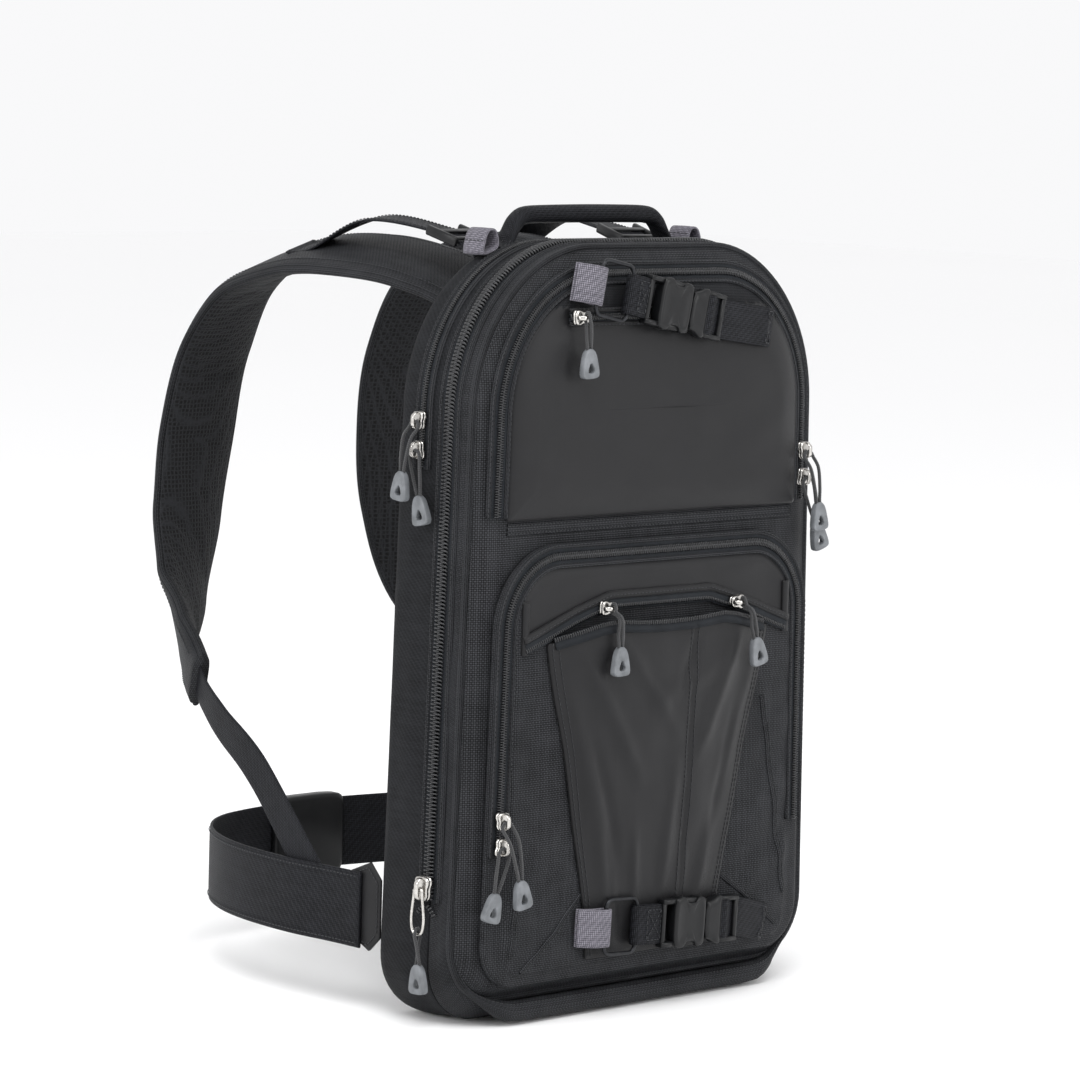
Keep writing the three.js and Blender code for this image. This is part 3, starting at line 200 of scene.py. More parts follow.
def skin(name, rings, finishes, loop=True, ends="capped", flat_front=False, choose=None):
    """A surface through rings of points in metres, with its UV map in mm. loop closes each ring, and
    ends is capped, open or joined. flat_front lays the cloth of forward faces in the front plane."""
    count = len(rings[0])
    points = [point for ring in rings for point in ring]
    faces, cloth = [], []
    widest = max(rings, key=lambda ring: sum((a - b).length for a, b in zip(ring, ring[1:])))
    along = [0.0]
    for a, b in zip(widest, widest[1:] + widest[:1]):
        along.append(along[-1] + (b - a).length * 1000)
    down = [[0.0] * count]
    for here, after in zip(rings, rings[1:] + rings[:1]):
        down.append([d + (a - b).length * 1000 for d, a, b in zip(down[-1], here, after)])
    for i in range(len(rings) if ends == "joined" else len(rings) - 1):
        n = (i + 1) % len(rings)
        for j in range(count if loop else count - 1):
            k = (j + 1) % count
            faces.append((i * count + j, i * count + k, n * count + k, n * count + j))
            cloth.append([(along[j], down[i][j]), (along[j + 1], down[i][k]),
                          (along[j + 1], down[i + 1][k]), (along[j], down[i + 1][j])])
    if ends == "capped":
        for ring, start in ((range(count - 1, -1, -1), 0), (range(count), (len(rings) - 1) * count)):
            faces.append(tuple(start + j for j in ring))
            cloth.append([(points[start + j].x * 1000, points[start + j].z * 1000) for j in ring])
    mesh = bpy.data.meshes.new(name)
    mesh.from_pydata(points, [], faces)
    layer = mesh.uv_layers.new(name="cloth_mm")
    inside_out = sum(f.center.dot(f.normal) * f.area for f in mesh.polygons) < 0 if ends != "open" else False
    for polygon, corners in zip(mesh.polygons, cloth):
        polygon.use_smooth = True
        flat = flat_front and abs(polygon.normal.y) > 0.75
        for loop_index, corner in zip(polygon.loop_indices, corners):
            place = mesh.vertices[mesh.loops[loop_index].vertex_index].co
            layer.data[loop_index].uv = (place.x * 1000, place.z * 1000) if flat else corner
        if choose:
            polygon.material_index = choose(polygon)
    if inside_out:
        mesh.flip_normals()
    for finish in finishes if isinstance(finishes, list) else [finishes]:
        mesh.materials.append(finish)
    piece = bpy.data.objects.new(name, mesh)
    bpy.context.scene.collection.objects.link(piece)
    return piece


def tube(name, line, radius, finish, sides=10, loop=False):
    """A round cord along a line in metres, its section carried without twist. radius may be a list."""
    rings, up = [], None
    for i, point in enumerate(line):
        before = line[i - 1] if i or loop else point
        after = line[(i + 1) % len(line)] if i < len(line) - 1 or loop else point
        along = (after - before).normalized()
        if up is None:
            up = along.orthogonal().normalized()
        up = (up - along * up.dot(along)).normalized()
        side = along.cross(up)
        reach = radius[i] if isinstance(radius, list) else radius
        rings.append([point + (up * math.cos(a) + side * math.sin(a)) * reach
                      for a in (2 * math.pi * j / sides for j in range(sides))])
    return skin(name, rings, finish, ends="joined" if loop else "capped")


def place_on(piece, body, slot, *nodes):
    """Fastens a piece to its body and hides the solids that it stands for. slot, its finish, is not used."""
    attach(piece, body)
    if nodes:
        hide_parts(*nodes)
    return piece


# Braided polyester: round strands laid at a slant, 1.1 mm apart, dull with a faint sheen.
braid, tree, shader = new_finish("braided_polyester")
place = add_node(tree, "ShaderNodeTexCoord")
parted = add_node(tree, "ShaderNodeSeparateXYZ", {0: place.outputs["UV"]})
slants = []
for sign in (1, -1):
    around = add_node(tree, "ShaderNodeMath", {0: parted.outputs[0], 1: sign * math.pi / 1.1}, operation="MULTIPLY")
    slant = add_node(tree, "ShaderNodeMath", {0: parted.outputs[1], 1: math.pi / 1.3, 2: around},
                     operation="MULTIPLY_ADD")
    wave = add_node(tree, "ShaderNodeMath", {0: slant}, operation="SINE")
    slants.append(add_node(tree, "ShaderNodeMath", {0: wave}, operation="ABSOLUTE"))
strands = add_node(tree, "ShaderNodeMath", {0: slants[0], 1: slants[1]}, operation="MULTIPLY")
# The strands' height sets the colour: painted shadow in the grooves between strands and a painted highlight on their
# crowns.
ramp = two_tones(tree, strands, "#0c0c0d", "#3b3c3f")
bump = add_node(tree, "ShaderNodeBump", {"Height": strands, "Distance": 0.00025, "Strength": 0.8})
tree.links.new(ramp.outputs[0], shader.inputs["Base Color"])
tree.links.new(bump.outputs[0], shader.inputs["Normal"])
shader.inputs["Roughness"].default_value = 0.62
shader.inputs["Sheen Weight"].default_value = 0.2

# Moulded rubber: soft grey PVC from a fine-blasted mould, matt, in darker and lighter handled patches at random.
rubber, tree, shader = new_finish("moulded_rubber")
place = add_node(tree, "ShaderNodeTexCoord")
grain = add_node(tree, "ShaderNodeTexNoise", {"Vector": place.outputs["Object"], "Scale": 2500.0, "Detail": 2.0})
handled = add_node(tree, "ShaderNodeTexNoise", {"Vector": place.outputs["Object"], "Scale": 130.0, "Detail": 3.0})
ramp = two_tones(tree, handled, "#55585b", "#74777b", 0.3, 0.7)
bump = add_node(tree, "ShaderNodeBump", {"Height": grain, "Distance": 0.0001, "Strength": 0.35})
rough = add_node(tree, "ShaderNodeMapRange", {"Value": handled, "To Min": 0.42, "To Max": 0.6})
tree.links.new(ramp.outputs[0], shader.inputs["Base Color"])
tree.links.new(rough.outputs[0], shader.inputs["Roughness"])
tree.links.new(bump.outputs[0], shader.inputs["Normal"])


def cut_corners(points, times=3):
    """A closed outline with its corners rounded off."""
    for _ in range(times):
        points = [p.lerp(points[(i + 1) % len(points)], share)
                  for i, p in enumerate(points) for share in (0.22, 0.78)]
    return points


def ring_from(outline, middle, count):
    """Points of an outline at equal angles round a middle point."""
    found = []
    for k in range(count):
        angle = 2 * math.pi * k / count
        ray = Vector((math.cos(angle), math.sin(angle)))
        best = 0.0
        for i, a in enumerate(outline):
            b = outline[(i + 1) % len(outline)]
            side = b - a
            cross = ray.x * side.y - ray.y * side.x
            if abs(cross) < 1e-9:
                continue
            gone = a - middle
            far = (gone.x * side.y - gone.y * side.x) / cross
            share = (gone.x * ray.y - gone.y * ray.x) / cross
            if far > 0 and -1e-6 <= share <= 1 + 1e-6:
                best = max(best, far)
        found.append(middle + ray * best)
    return found


def tag_rings():
    """The tag's skin, from its rim over the face into the window and back, in mm."""
    edge = cut_corners([Vector(p) for p in (
        (-TAG_TOP / 2, 0), (-TAG_FOOT / 2, 3 - TAG_HEIGHT), (1.5 - TAG_FOOT / 2, -TAG_HEIGHT),
        (TAG_FOOT / 2 - 1.5, -TAG_HEIGHT), (TAG_FOOT / 2, 3 - TAG_HEIGHT), (TAG_TOP / 2, 0))])
    window = cut_corners([Vector(p) for p in ((0, -TAG_HEIGHT * 0.4), (-3.6, 3.6 - TAG_HEIGHT),
                                              (3.6, 3.6 - TAG_HEIGHT))])
    middle = Vector((0, -12.4))
    outer, inner = ring_from(edge, middle, 40), ring_from(window, middle, 40)
    half = TAG_THICKNESS / 2
    shares = [(0, 0.62), (0.05, 0.9), (0.16, 1), (0.5, 0.93), (0.8, 1.0), (0.93, 0.96), (1, 0.6)]
    rows = [[(o.lerp(i, share), half * high) for o, i in zip(outer, inner)] for share, high in shares]
    rows += [[(p, -h) for p, h in row] for row in reversed(rows)]
    return [[Vector((p.x, p.y, h)) for p, h in row] for row in rows]


# How each pull hangs, in mm: the slider's place, the way its cloth faces, how it is turned on its
# zip, the swing of the tag, the cord's drop, and how far the tag stands off from the bridge.
def laptop_place(rise):
    height = LAPTOP_END + rise
    return Vector((-half_width(height) - COIL_TOP - 0.3, -LAPTOP_ZIP, height))


upper_x = half_width(MID_SEAM + 18) - 16
lower_x = half_width(110) - POCKET_MARGIN - 7
PULLS = [
    {"name": "laptop_a", "place": laptop_place(30), "away": LEFT_SIDE, "turned": 0, "swing": -0.1,
     "drop": 31, "off": 6.8},
    {"name": "laptop_b", "place": laptop_place(12), "away": LEFT_SIDE, "turned": 180, "swing": 0.22,
     "drop": 28, "off": 0.6},
    {"name": "upper_a", "place": Vector((upper_x, -UPPER_ZIP_BASE - COIL_TOP, MID_SEAM + 34)), "away": FRONT,
     "turned": 0, "swing": 0.12, "drop": 33, "off": 6.8},
    {"name": "upper_b", "place": Vector((upper_x, -UPPER_ZIP_BASE - COIL_TOP, MID_SEAM + 17)), "away": FRONT,
     "turned": 180, "swing": 0.3, "drop": 31, "off": 0.6},
    {"name": "lower_a", "place": Vector((-lower_x, -LOWER_ZIP_BASE - COIL_TOP, 130)), "away": FRONT,
     "turned": 0, "swing": 0.18, "drop": 36, "off": 6.8},
    {"name": "lower_b", "place": Vector((-lower_x, -LOWER_ZIP_BASE - COIL_TOP, 114)), "away": FRONT,
     "turned": 180, "swing": -0.28, "drop": 28, "off": 0.6},
    {"name": "organiser", "place": Vector((6 - ORGANISER_HALF, -UPPER_FACE - COIL_TOP, ORGANISER_Z)),
     "away": FRONT, "turned": 90, "swing": 0.06, "drop": 22, "off": 0.6},
    {"name": "slash_left", "place": Vector((-0.353 * POCKET_HALF, -LOWER_FACE - COIL_TOP, 0.862 * POCKET_TOP)),
     "away": FRONT, "turned": 90, "swing": 0.02, "drop": 26, "off": 6.4},
    {"name": "slash_right", "place": Vector((0.466 * POCKET_HALF, -LOWER_FACE - COIL_TOP, 0.8518 * POCKET_TOP)),
     "away": FRONT, "turned": -90, "swing": 0.24, "drop": 26, "off": 6},
]
SLIDER_WIDTH, SLIDER_LENGTH, SLIDER_PLATE = 9.0, 11.0, 3.4
BRIDGE_WIDTH, BRIDGE_RISE, BRIDGE_ROOF = 2.8, 4.4, 1.2


def row_place(place, local):
    """Local axes moved to a place given in mm over the base, as a matrix in metres."""
    where = Vector((place.x, place.y, place.z - MOUNT_HEIGHT)) / 1000
    return Matrix.Translation(where) @ local @ Matrix.Scale(0.001, 4)


def loop_line(drop, half, off, over_roof):
    """The cord from the bridge down one leg, round inside the tag and up the other leg, in mm."""
    if over_roof:
        leg = [(0, 0.35, 0.2), (0, -1.5, half * 0.78), (0, -5.2, half + 0.1),
               (0.5, -drop * 0.34, half * 0.9 + off * 0.8), (1.2, -drop * 0.72, half * 0.4 + off)]
    else:
        leg = [(0.9, -0.1, 0), (half * 0.84, -1.9, 0), (half, -4.4, off * 0.1),
               (half * 0.92, -drop * 0.34, off * 0.78), (half * 0.62, -drop * 0.72, off)]
    inside = [(1.5, -drop - 0.5, off), (3.0, -drop - 6.5, off), (4.4, -drop - 12.2, off), (3.1, -drop - 15.9, off)]
    right_leg = [Vector(p) for p in leg + inside]
    back = -1 if over_roof else 1
    left_leg = [Vector((-x, y, (z - (off if y < -6 else 0)) * back + (off if y < -6 else 0))) for x, y, z in right_leg]
    return smooth_line(right_leg + [Vector((0, -drop - 17.1, off))] + left_leg[::-1], 72)


def hang_pull(name, crossing, away, swing, drop, half, off, over_roof, body):
    """One cord loop with its tag."""
    at = row_place(crossing, facing(away, swing))
    line = [at @ p for p in loop_line(drop, half, off, over_roof)]
    cord = place_on(tube(f"cord_{name}", line, CORD / 2000, braid, sides=8), body, "pull_rubber", f"pull_{name}")
    lowered = at @ Matrix.Translation((0, -drop, off))
    tag = skin(f"tag_{name}", [[lowered @ p for p in ring] for ring in tag_rings()], rubber, ends="joined")
    place_on(tag, body, "pull_rubber", f"pull_{name}")


for pull in PULLS:
    is_lying = abs(pull["turned"]) == 90
    if is_lying:
        crossing = pull["place"] + pull["away"] * (SLIDER_PLATE + BRIDGE_RISE - BRIDGE_ROOF / 2)
        crossing.z += BRIDGE_WIDTH / 2 + CORD / 2 + 0.8
        half = BRIDGE_ROOF / 2 + CORD / 2 + 0.35
    else:
        crossing = pull["place"] + pull["away"] * (SLIDER_PLATE + 1.7)
        half = BRIDGE_WIDTH / 2 + CORD / 2 + 0.7 + abs(pull["swing"]) * SLIDER_LENGTH * 0.45
    hang_pull(pull["name"], crossing, pull["away"], pull["swing"], pull["drop"], half, pull["off"], is_lying, "bag")

BIG_SLIDER_Z = 86
BIG_PLATE, BIG_BRIDGE = 4.2, 3.6
PULLER_LENGTH, PULLER_WIDTH, PULLER_WIRE = 27, 11, 1.7
big_place = Vector((-half_width(BIG_SLIDER_Z) - 3.7 - 0.5, -SHELL_SPLIT, BIG_SLIDER_Z))
puller_hinge = big_place + LEFT_SIDE * (BIG_PLATE + 1.9)
puller_eye = puller_hinge + Vector((0, 0, -PULLER_LENGTH + PULLER_WIRE / 2 + CORD / 2 + 0.6))
hang_pull("expansion", puller_eye, LEFT_SIDE, 0.06, 22, PULLER_WIRE / 2 + CORD / 2 + 0.35, 0, True, "puller")

# Rear shell
# The bag's deep half is a padded box of ballistic nylon over foam: a coarse filament cloth on its
# edges and a finer twill on its flanks, cut to a tapering arch and sewn at its corners.
PACK = {"base": 0, "top": PACK_HEIGHT, "margin": 0, "base_radius": 40, "top_radius": 100}


def outline(panel, inset=0.0, lift=0.0):
    """A panel's outline that far inside it, from the base's middle round the right side, in mm."""
    wide = HALF_BASE - panel["margin"] - inset
    low, high = panel["base"] + inset + lift, panel["top"] - inset
    low_round = max(panel["base_radius"] - inset, 1)
    high_round = max(panel["top_radius"] - inset, 1)
    half = [((wide - low_round) * i / 12, low) for i in range(12)]
    for i in range(13):
        a = math.pi / 2 * i / 12
        half.append((wide - low_round * (1 - math.sin(a)), low + low_round * (1 - math.cos(a))))
    side = high - high_round - low - low_round
    half += [(wide, low + low_round + side * i / 64) for i in range(1, 64)]
    for i in range(25):
        a = math.pi / 2 * i / 24
        half.append((wide - high_round * (1 - math.cos(a)), high - high_round * (1 - math.sin(a))))
    half += [((wide - high_round) * (1 - i / 12), high) for i in range(1, 13)]
    half = [(x * half_width(z) / HALF_BASE, z) for x, z in half]
    return half + [(-x, z) for x, z in reversed(half[1:-1])]


def outward(points):
    """The way out at each point of a closed outline, in the front plane."""
    found = []
    for i, (x, z) in enumerate(points):
        (px, pz), (qx, qz) = points[i - 1], points[(i + 1) % len(points)]
        way = Vector((qz - pz, px - qx))
        found.append(way.normalized() if way.length > 1e-9 else Vector((0, 1)))
    return found


def shell_rings(panel, rows, swell):
    """Rings of a panel in metres. Each row is depth, inset and lift; swell gives, from a point's place
    in mm, how far the cloth stands out sideways and forward there."""
    rings = []
    for depth, inset, lift in rows:
        line = outline(panel, inset, lift)
        ring = []
        for (x, z), way in zip(line, outward(line)):
            out, fore = swell(x, depth, z)
            ring.append(spot(x + way.x * out, depth + fore, z + way.y * out))
        rings.append(ring)
    return rings


def waver(x, depth, z, size, height):
    """Slow unevenness of padded cloth: waves of that size in mm, and that high."""
    return height * noise.noise(Vector((x, depth * 1.4, z * 0.7)) / size)


def hump(value, low, high):
    """0 at both ends of a span and 1 in its middle."""
    share = (value - low) / (high - low)
    return math.sin(math.pi * share) if 0 < share < 1 else 0.0


def woven(name, thread, repeat, deep, high, roughness, sheen, relief, slub=0.3):
    """Cloth of crossing threads, that many mm apart. repeat is 2 in plain weave and 4 in twill."""
    cloth, tree, shader = new_finish(name)
    place = add_node(tree, "ShaderNodeTexCoord")
    counted = add_node(tree, "ShaderNodeVectorMath",
                       {0: place.outputs["UV"], 1: (1 / thread, 1 / thread, 0)}, operation="MULTIPLY")
    parted = add_node(tree, "ShaderNodeSeparateXYZ", {0: counted})
    steps, arcs = [], []
    for axis in (0, 1):
        steps.append(add_node(tree, "ShaderNodeMath", {0: parted.outputs[axis]}, operation="FLOOR"))
        phase = add_node(tree, "ShaderNodeMath", {0: parted.outputs[axis], 1: math.pi}, operation="MULTIPLY")
        wave = add_node(tree, "ShaderNodeMath", {0: phase}, operation="SINE")
        size = add_node(tree, "ShaderNodeMath", {0: wave}, operation="ABSOLUTE")
        arcs.append(add_node(tree, "ShaderNodeMath", {0: size, 1: 0.6}, operation="POWER"))
    summed = add_node(tree, "ShaderNodeMath", {0: steps[0], 1: steps[1]}, operation="ADD")
    shared = add_node(tree, "ShaderNodeMath", {0: summed, 1: 1 / repeat}, operation="MULTIPLY")
    part = add_node(tree, "ShaderNodeMath", {0: shared}, operation="FRACT")
    over = add_node(tree, "ShaderNodeMath", {0: part, 1: 0.499}, operation="LESS_THAN")
    crowns = []
    for mine, other in ((0, 1), (1, 0)):
        dip = add_node(tree, "ShaderNodeMath", {0: arcs[other], 1: 0.45, 2: 0.55}, operation="MULTIPLY_ADD")
        crowns.append(add_node(tree, "ShaderNodeMath", {0: arcs[mine], 1: dip}, operation="MULTIPLY"))
    lower = add_node(tree, "ShaderNodeMath", {0: crowns[0], 1: 0.8}, operation="MULTIPLY")
    mixed = add_node(tree, "ShaderNodeMix", {0: over, 2: lower, 3: crowns[1]}, data_type="FLOAT")
    uneven = add_node(tree, "ShaderNodeTexNoise", {"Vector": place.outputs["Object"], "Scale": 90.0, "Detail": 4.0})
    worn = add_node(tree, "ShaderNodeTexNoise", {"Vector": place.outputs["Object"], "Scale": 14.0, "Detail": 3.0})
    threads = add_node(tree, "ShaderNodeTexWhiteNoise", {"W": steps[0]}, noise_dimensions="1D")
    # The colour follows the weave's height: painted shadow in the dips between threads and a painted highlight on their
    # crowns. Random tone, per-thread tone and wear are laid over it.
    tone_wear_and_painted_weave_light = add_node(tree, "ShaderNodeMath", {0: uneven, 1: slub, 2: mixed.outputs[0]}, operation="MULTIPLY_ADD")
    tone_wear_and_painted_weave_light = add_node(tree, "ShaderNodeMath", {0: worn, 1: slub, 2: tone_wear_and_painted_weave_light}, operation="MULTIPLY_ADD")
    tone_wear_and_painted_weave_light = add_node(tree, "ShaderNodeMath", {0: threads, 1: slub * 0.35, 2: tone_wear_and_painted_weave_light}, operation="MULTIPLY_ADD")
    tone_wear_and_painted_weave_light = add_node(tree, "ShaderNodeMath", {0: tone_wear_and_painted_weave_light, 1: slub * 1.1}, operation="SUBTRACT")
    # deep is the colour of the painted shadow in the dips, high that of the painted highlight on the crowns.
    ramp = two_tones(tree, tone_wear_and_painted_weave_light, deep, high, 0.3, 0.95)
    gloss = add_node(tree, "ShaderNodeMapRange",
                     {"Value": worn, "To Min": roughness - 0.07, "To Max": roughness + 0.07})
    bump = add_node(tree, "ShaderNodeBump", {"Height": mixed.outputs[0], "Distance": relief / 1000, "Strength": 0.7})
    tree.links.new(ramp.outputs[0], shader.inputs["Base Color"])
    tree.links.new(gloss.outputs[0], shader.inputs["Roughness"])
    tree.links.new(bump.outputs[0], shader.inputs["Normal"])
    shader.inputs["Sheen Weight"].default_value = sheen
    shader.inputs["Sheen Roughness"].default_value = 0.45
    shader.inputs["Specular IOR Level"].default_value = 0.09
    return cloth


# Ballistic nylon: 1.35 mm bundles of thick filament in plain weave, whose crowns catch the light.
ballistic = woven("ballistic_nylon", 1.35, 2, "#010101", "#3c3d40", 0.5, 0.0, 0.6)
# Nylon twill: 0.95 mm threads laid in a diagonal rib, a finer and duller cloth.
twill = woven("nylon_twill", 0.95, 4, "#020202", "#2b2c2f", 0.58, 0.0, 0.4)


def flank_swell(x, depth, z):
    sideways = abs(x) / half_width(z) > 0.75 and z < PACK_HEIGHT - 110
    if z < LAPTOP_END - 6:
        out = 1.8 * hump(depth, 19, 54)
    else:
        out = 0.8 * hump(depth, 20, 34) + 0.7 * hump(depth, 48, 55.5)
    crease = waver(x, depth, z, 26, 1.4) * hump(depth, 18, 55.5) if sideways else waver(x, depth, z, 40, 0.5)
    return out + crease * (1 if z > 12 else 0), 0


rear_rows = [(63.6, 5, 0), (63.6, 0.5, 0)]
rear_rows += [(depth, 0, 0) for depth in (62.8, 60, 57.5, 55.5, 52, 49, 46, 43, 40, 37, 34, 31, 28, 25)]
rear_rows += [(22, 0.5, 0), (19.5, 1.4, 0), (17.6, 3.2, 0), (16.4, 5.6, 0), (16.0, 9, 0), (16.0, 20, 0),
              (16.0, 45, 0), (16.0, 90, 0)]
rear = skin("rear_shell_cloth", shell_rings(PACK, rear_rows, flank_swell), [twill, ballistic], flat_front=True,
            choose=lambda face: 1 if abs(face.normal.z) > 0.9 and face.center.z < -0.2 else 0)
place_on(rear, "bag", "ballistic_nylon", "rear_shell")

# Front shell
# The lid: the same ballistic nylon over thinner foam. Its edge is bound with a stuffed piping, and
# the whole front is cut from coarse cloth that shows between the pockets.
front_rows = [(64.4, 5, 0), (64.4, 0.3, 0), (65.4, 0, 0), (68, 0, 1), (72.5, 0, 3), (75, 0.2, 5.5),
              (78, 0.4, 8.5), (80.5, 0.2, 12),
              (82.6, 0.4, 14.6), (84.4, 2.4, 15), (85.6, 4.6, 13.5), (86.9, 7.4, 12), (88.6, 10.6, 10),
              (90.1, 14, 8), (91.2, 18, 5.6),
              (91.8, 22, 3), (92, 26, 0)] + [(92, inset, 0) for inset in range(32, 116, 7)]


def lid_swell(x, depth, z):
    out = 0.9 * hump(depth, 73, 81) + waver(x, depth, z, 30, 0.7) * hump(depth, 64, 90)
    return out, 0


lid = skin("front_shell_cloth", shell_rings(PACK, front_rows, lid_swell), ballistic, flat_front=True)
place_on(lid, "bag", "ballistic_nylon", "front_shell")

piping_line = [spot(x, 82.6, z) for x, z in outline(PACK, 0.0, 14.8)]
piping = tube("lid_piping", piping_line, 0.0021, ballistic, sides=10, loop=True)
place_on(piping, "bag", "ballistic_nylon", "front_shell")

# Seams
# Bonded polyester thread of 0.6 mm in a stitch every 3.1 mm, sunk a little into the cloth along every
# zip tape and binding. Each run is one mesh of small rounded stitches.
thread, tree, shader = new_finish("bonded_thread")
place = add_node(tree, "ShaderNodeTexCoord")
plied = add_node(tree, "ShaderNodeTexNoise", {"Vector": place.outputs["Object"], "Scale": 1800.0})
ramp = two_tones(tree, plied, "#0b0b0c", "#37393d")
tree.links.new(ramp.outputs[0], shader.inputs["Base Color"])
shader.inputs["Roughness"].default_value = 0.5


def as_piece(name, points, faces, finish):
    """Points in metres and faces as one smooth piece in one material."""
    mesh = bpy.data.meshes.new(name)
    mesh.from_pydata(points, [], faces)
    for polygon in mesh.polygons:
        polygon.use_smooth = True
    mesh.materials.append(finish)
    piece = bpy.data.objects.new(name, mesh)
    bpy.context.scene.collection.objects.link(piece)
    return piece


def strand_faces(start, rings, sides, turned=False):
    """The faces of a short closed strand whose rings of points begin at start. turned flips them."""
    faces = []
    for i in range(rings - 1):
        for j in range(sides):
            a, b = start + i * sides + j, start + i * sides + (j + 1) % sides
            faces.append((b, a, a + sides, b + sides) if turned else (a, b, b + sides, a + sides))
    first = tuple(range(start, start + sides))
    last = tuple(range(start + (rings - 1) * sides, start + rings * sides))
    return faces + ([first, last[::-1]] if turned else [first[::-1], last])


def sew(name, lines, finish=thread, stitch=2.3, space=3.1, thick=0.3):
    """Rows of stitches: each line is pairs of a point in metres and the way the cloth faces there."""
    points, faces = [], []
    for line in lines:
        run = [p for p, _ in line]
        length = sum((b - a).length for a, b in zip(run, run[1:])) * 1000
        count = max(2, int(length / space))
        spaced = even_line(run, count * 2 + 1)
        ways = even_line([w for _, w in line], count * 2 + 1)
        for k in range(count):
            middle, before, after = spaced[2 * k + 1], spaced[2 * k], spaced[2 * k + 2]
            away = ways[2 * k + 1].normalized()
            along = (after - before).normalized()
            side = along.cross(away).normalized()
            start = len(points)
            for share, high, fat in ((-0.5, -0.2, 0.5), (-0.32, 0.5, 1), (0.32, 0.5, 1), (0.5, -0.2, 0.5)):
                core = middle + along * (share * stitch / 1000) + away * (high * thick / 1000)
                for a in (0.0, 1.57, 3.14, 4.71):
                    points.append(core + (side * math.cos(a) + away * math.sin(a)) * (fat * thick / 1000))
            faces += strand_faces(start, 4, 4)
    return as_piece(name, points, faces, finish)


def edge_line(panel, inset, depth, lowest=-1e9, lift=0.0, away=None, proud=0.25):
    """A panel's outline above a height as a line on the cloth, with the way the cloth faces."""
    line = outline(panel, inset, lift)
    found = []
    for (x, z), way in zip(line, outward(line)):
        if z >= lowest:
            face = away.copy() if away else Vector((way.x, 0, way.y))
            found.append((spot(x, depth, z) + face * proud / 1000, face))
    return found


# Zips
# Nylon coil zips: two woven polyester tapes, each with a coil of thick monofilament sewn along its
# inner edge. The tapes are bluish grey from their fine ribbing, the coils are black and glossy.
tape_cloth = woven("polyester_tape", 0.6, 2, "#0b0c0e", "#303337", 0.65, 0.02, 0.12)

# Monofilament: smooth extruded nylon, so each turn of the coil carries a sharp highlight.
coil_nylon, tree, shader = new_finish("coil_monofilament")
place = add_node(tree, "ShaderNodeTexCoord")
dust = add_node(tree, "ShaderNodeTexNoise", {"Vector": place.outputs["Object"], "Scale": 220.0, "Detail": 3.0})
ramp = two_tones(tree, dust, "#0b0b0c", "#2b2c2f")
gloss = add_node(tree, "ShaderNodeMapRange", {"Value": dust, "To Min": 0.16, "To Max": 0.36})
tree.links.new(ramp.outputs[0], shader.inputs["Base Color"])
tree.links.new(gloss.outputs[0], shader.inputs["Roughness"])


def tape_rings(line, profile):
    """A strip's rings: line is points and the way the cloth faces, profile is across and away in mm."""
    rings = []
    for i, (point, away) in enumerate(line):
        along = (line[min(i + 1, len(line) - 1)][0] - line[max(i - 1, 0)][0]).normalized()
        across = along.cross(away).normalized()
        face = across.cross(along)
        rings.append([point + (across * u + face * v) / 1000 for u, v in profile])
    return rings


def zip_teeth(name, line, pitch, wide, high, lift):
    """Both rows of a coil's turns: each turn rises from the tape, arches over and meets the other row."""
    points, faces = [], []
    run = [p for p, _ in line]
    length = sum((b - a).length for a, b in zip(run, run[1:])) * 1000
    count = int(length / pitch) * 2
    spaced = even_line(run, count + 1)
    ways = even_line([w for _, w in line], count + 1)
    shape = [(0.5, 0.05, 0.55), (0.49, 0.42, 0.8), (0.36, 0.72, 0.95), (0.1, 0.78, 1.0), (-0.1, 0.7, 0.95),
             (-0.17, 0.4, 0.6)]
    for k in range(count):
        away = ways[k].normalized()
        along = (spaced[k + 1] - spaced[k]).normalized()
        across = along.cross(away).normalized() * (1 if k % 2 else -1)
        start = len(points)
        for share, rise, fat in shape:
            core = spaced[k] + across * (share * wide / 1000) + away * ((lift + rise * high) / 1000)
            for j in range(6):
                a = math.pi * j / 3
                points.append(core + along * (math.cos(a) * fat * pitch * 0.3 / 1000)
                              + away * (math.sin(a) * fat * high * 0.26 / 1000))
        faces += strand_faces(start, len(shape), 6, turned=k % 2 == 0)
    return as_piece(name, points, faces, coil_nylon)


def zip_along(name, line, node, tape, coil, high, pitch, cover, edge_drop=0.0, folds=ballistic):
    """A whole zip on a line: tapes, coil, the two folded edges of cloth beside it, and their stitches."""
    half, inner = tape / 2, coil * 0.32
    tape_half = [(inner * 0.35, 0.05), (inner, 0.75), (half * 0.72, 0.85 - edge_drop * 0.3),
                 (half, 0.7 - edge_drop), (half, -0.1 - edge_drop), (inner * 0.35, -0.15)]
    for side, label in ((-1, "inner"), (1, "outer")):
        rings = tape_rings(line, [(side * u, v) for u, v in tape_half][::side])
        place_on(skin(f"{name}_tape_{label}", rings, tape_cloth), "bag", "coil_zip", node)
    place_on(zip_teeth(f"{name}_coil", line, pitch, coil, high, 0.2), "bag", "coil_zip", node)
    seams = []
    for side, label in ((-1, "inner"), (1, "outer")):
        fold = [(half - 1.3, 0.4), (half - 1.5, 1.0), (half - 0.9, 1.65), (half + 0.3, 1.75),
                (half + cover * 0.6, 1.3), (half + cover, 0.3), (half + cover, -0.3), (half, -0.3)]
        rings = tape_rings(line, [(side * u, v - edge_drop) for u, v in fold][::side])
        place_on(skin(f"{name}_fold_{label}", rings, folds), "bag", "ballistic_nylon", node)
        sewn = tape_rings(line, [(side * (half + 0.7), 1.75 - edge_drop)])
        seams.append([(ring[0], away) for ring, (_, away) in zip(sewn, line)])
    place_on(sew(f"{name}_stitches", seams), "bag", "coil_zip", node)


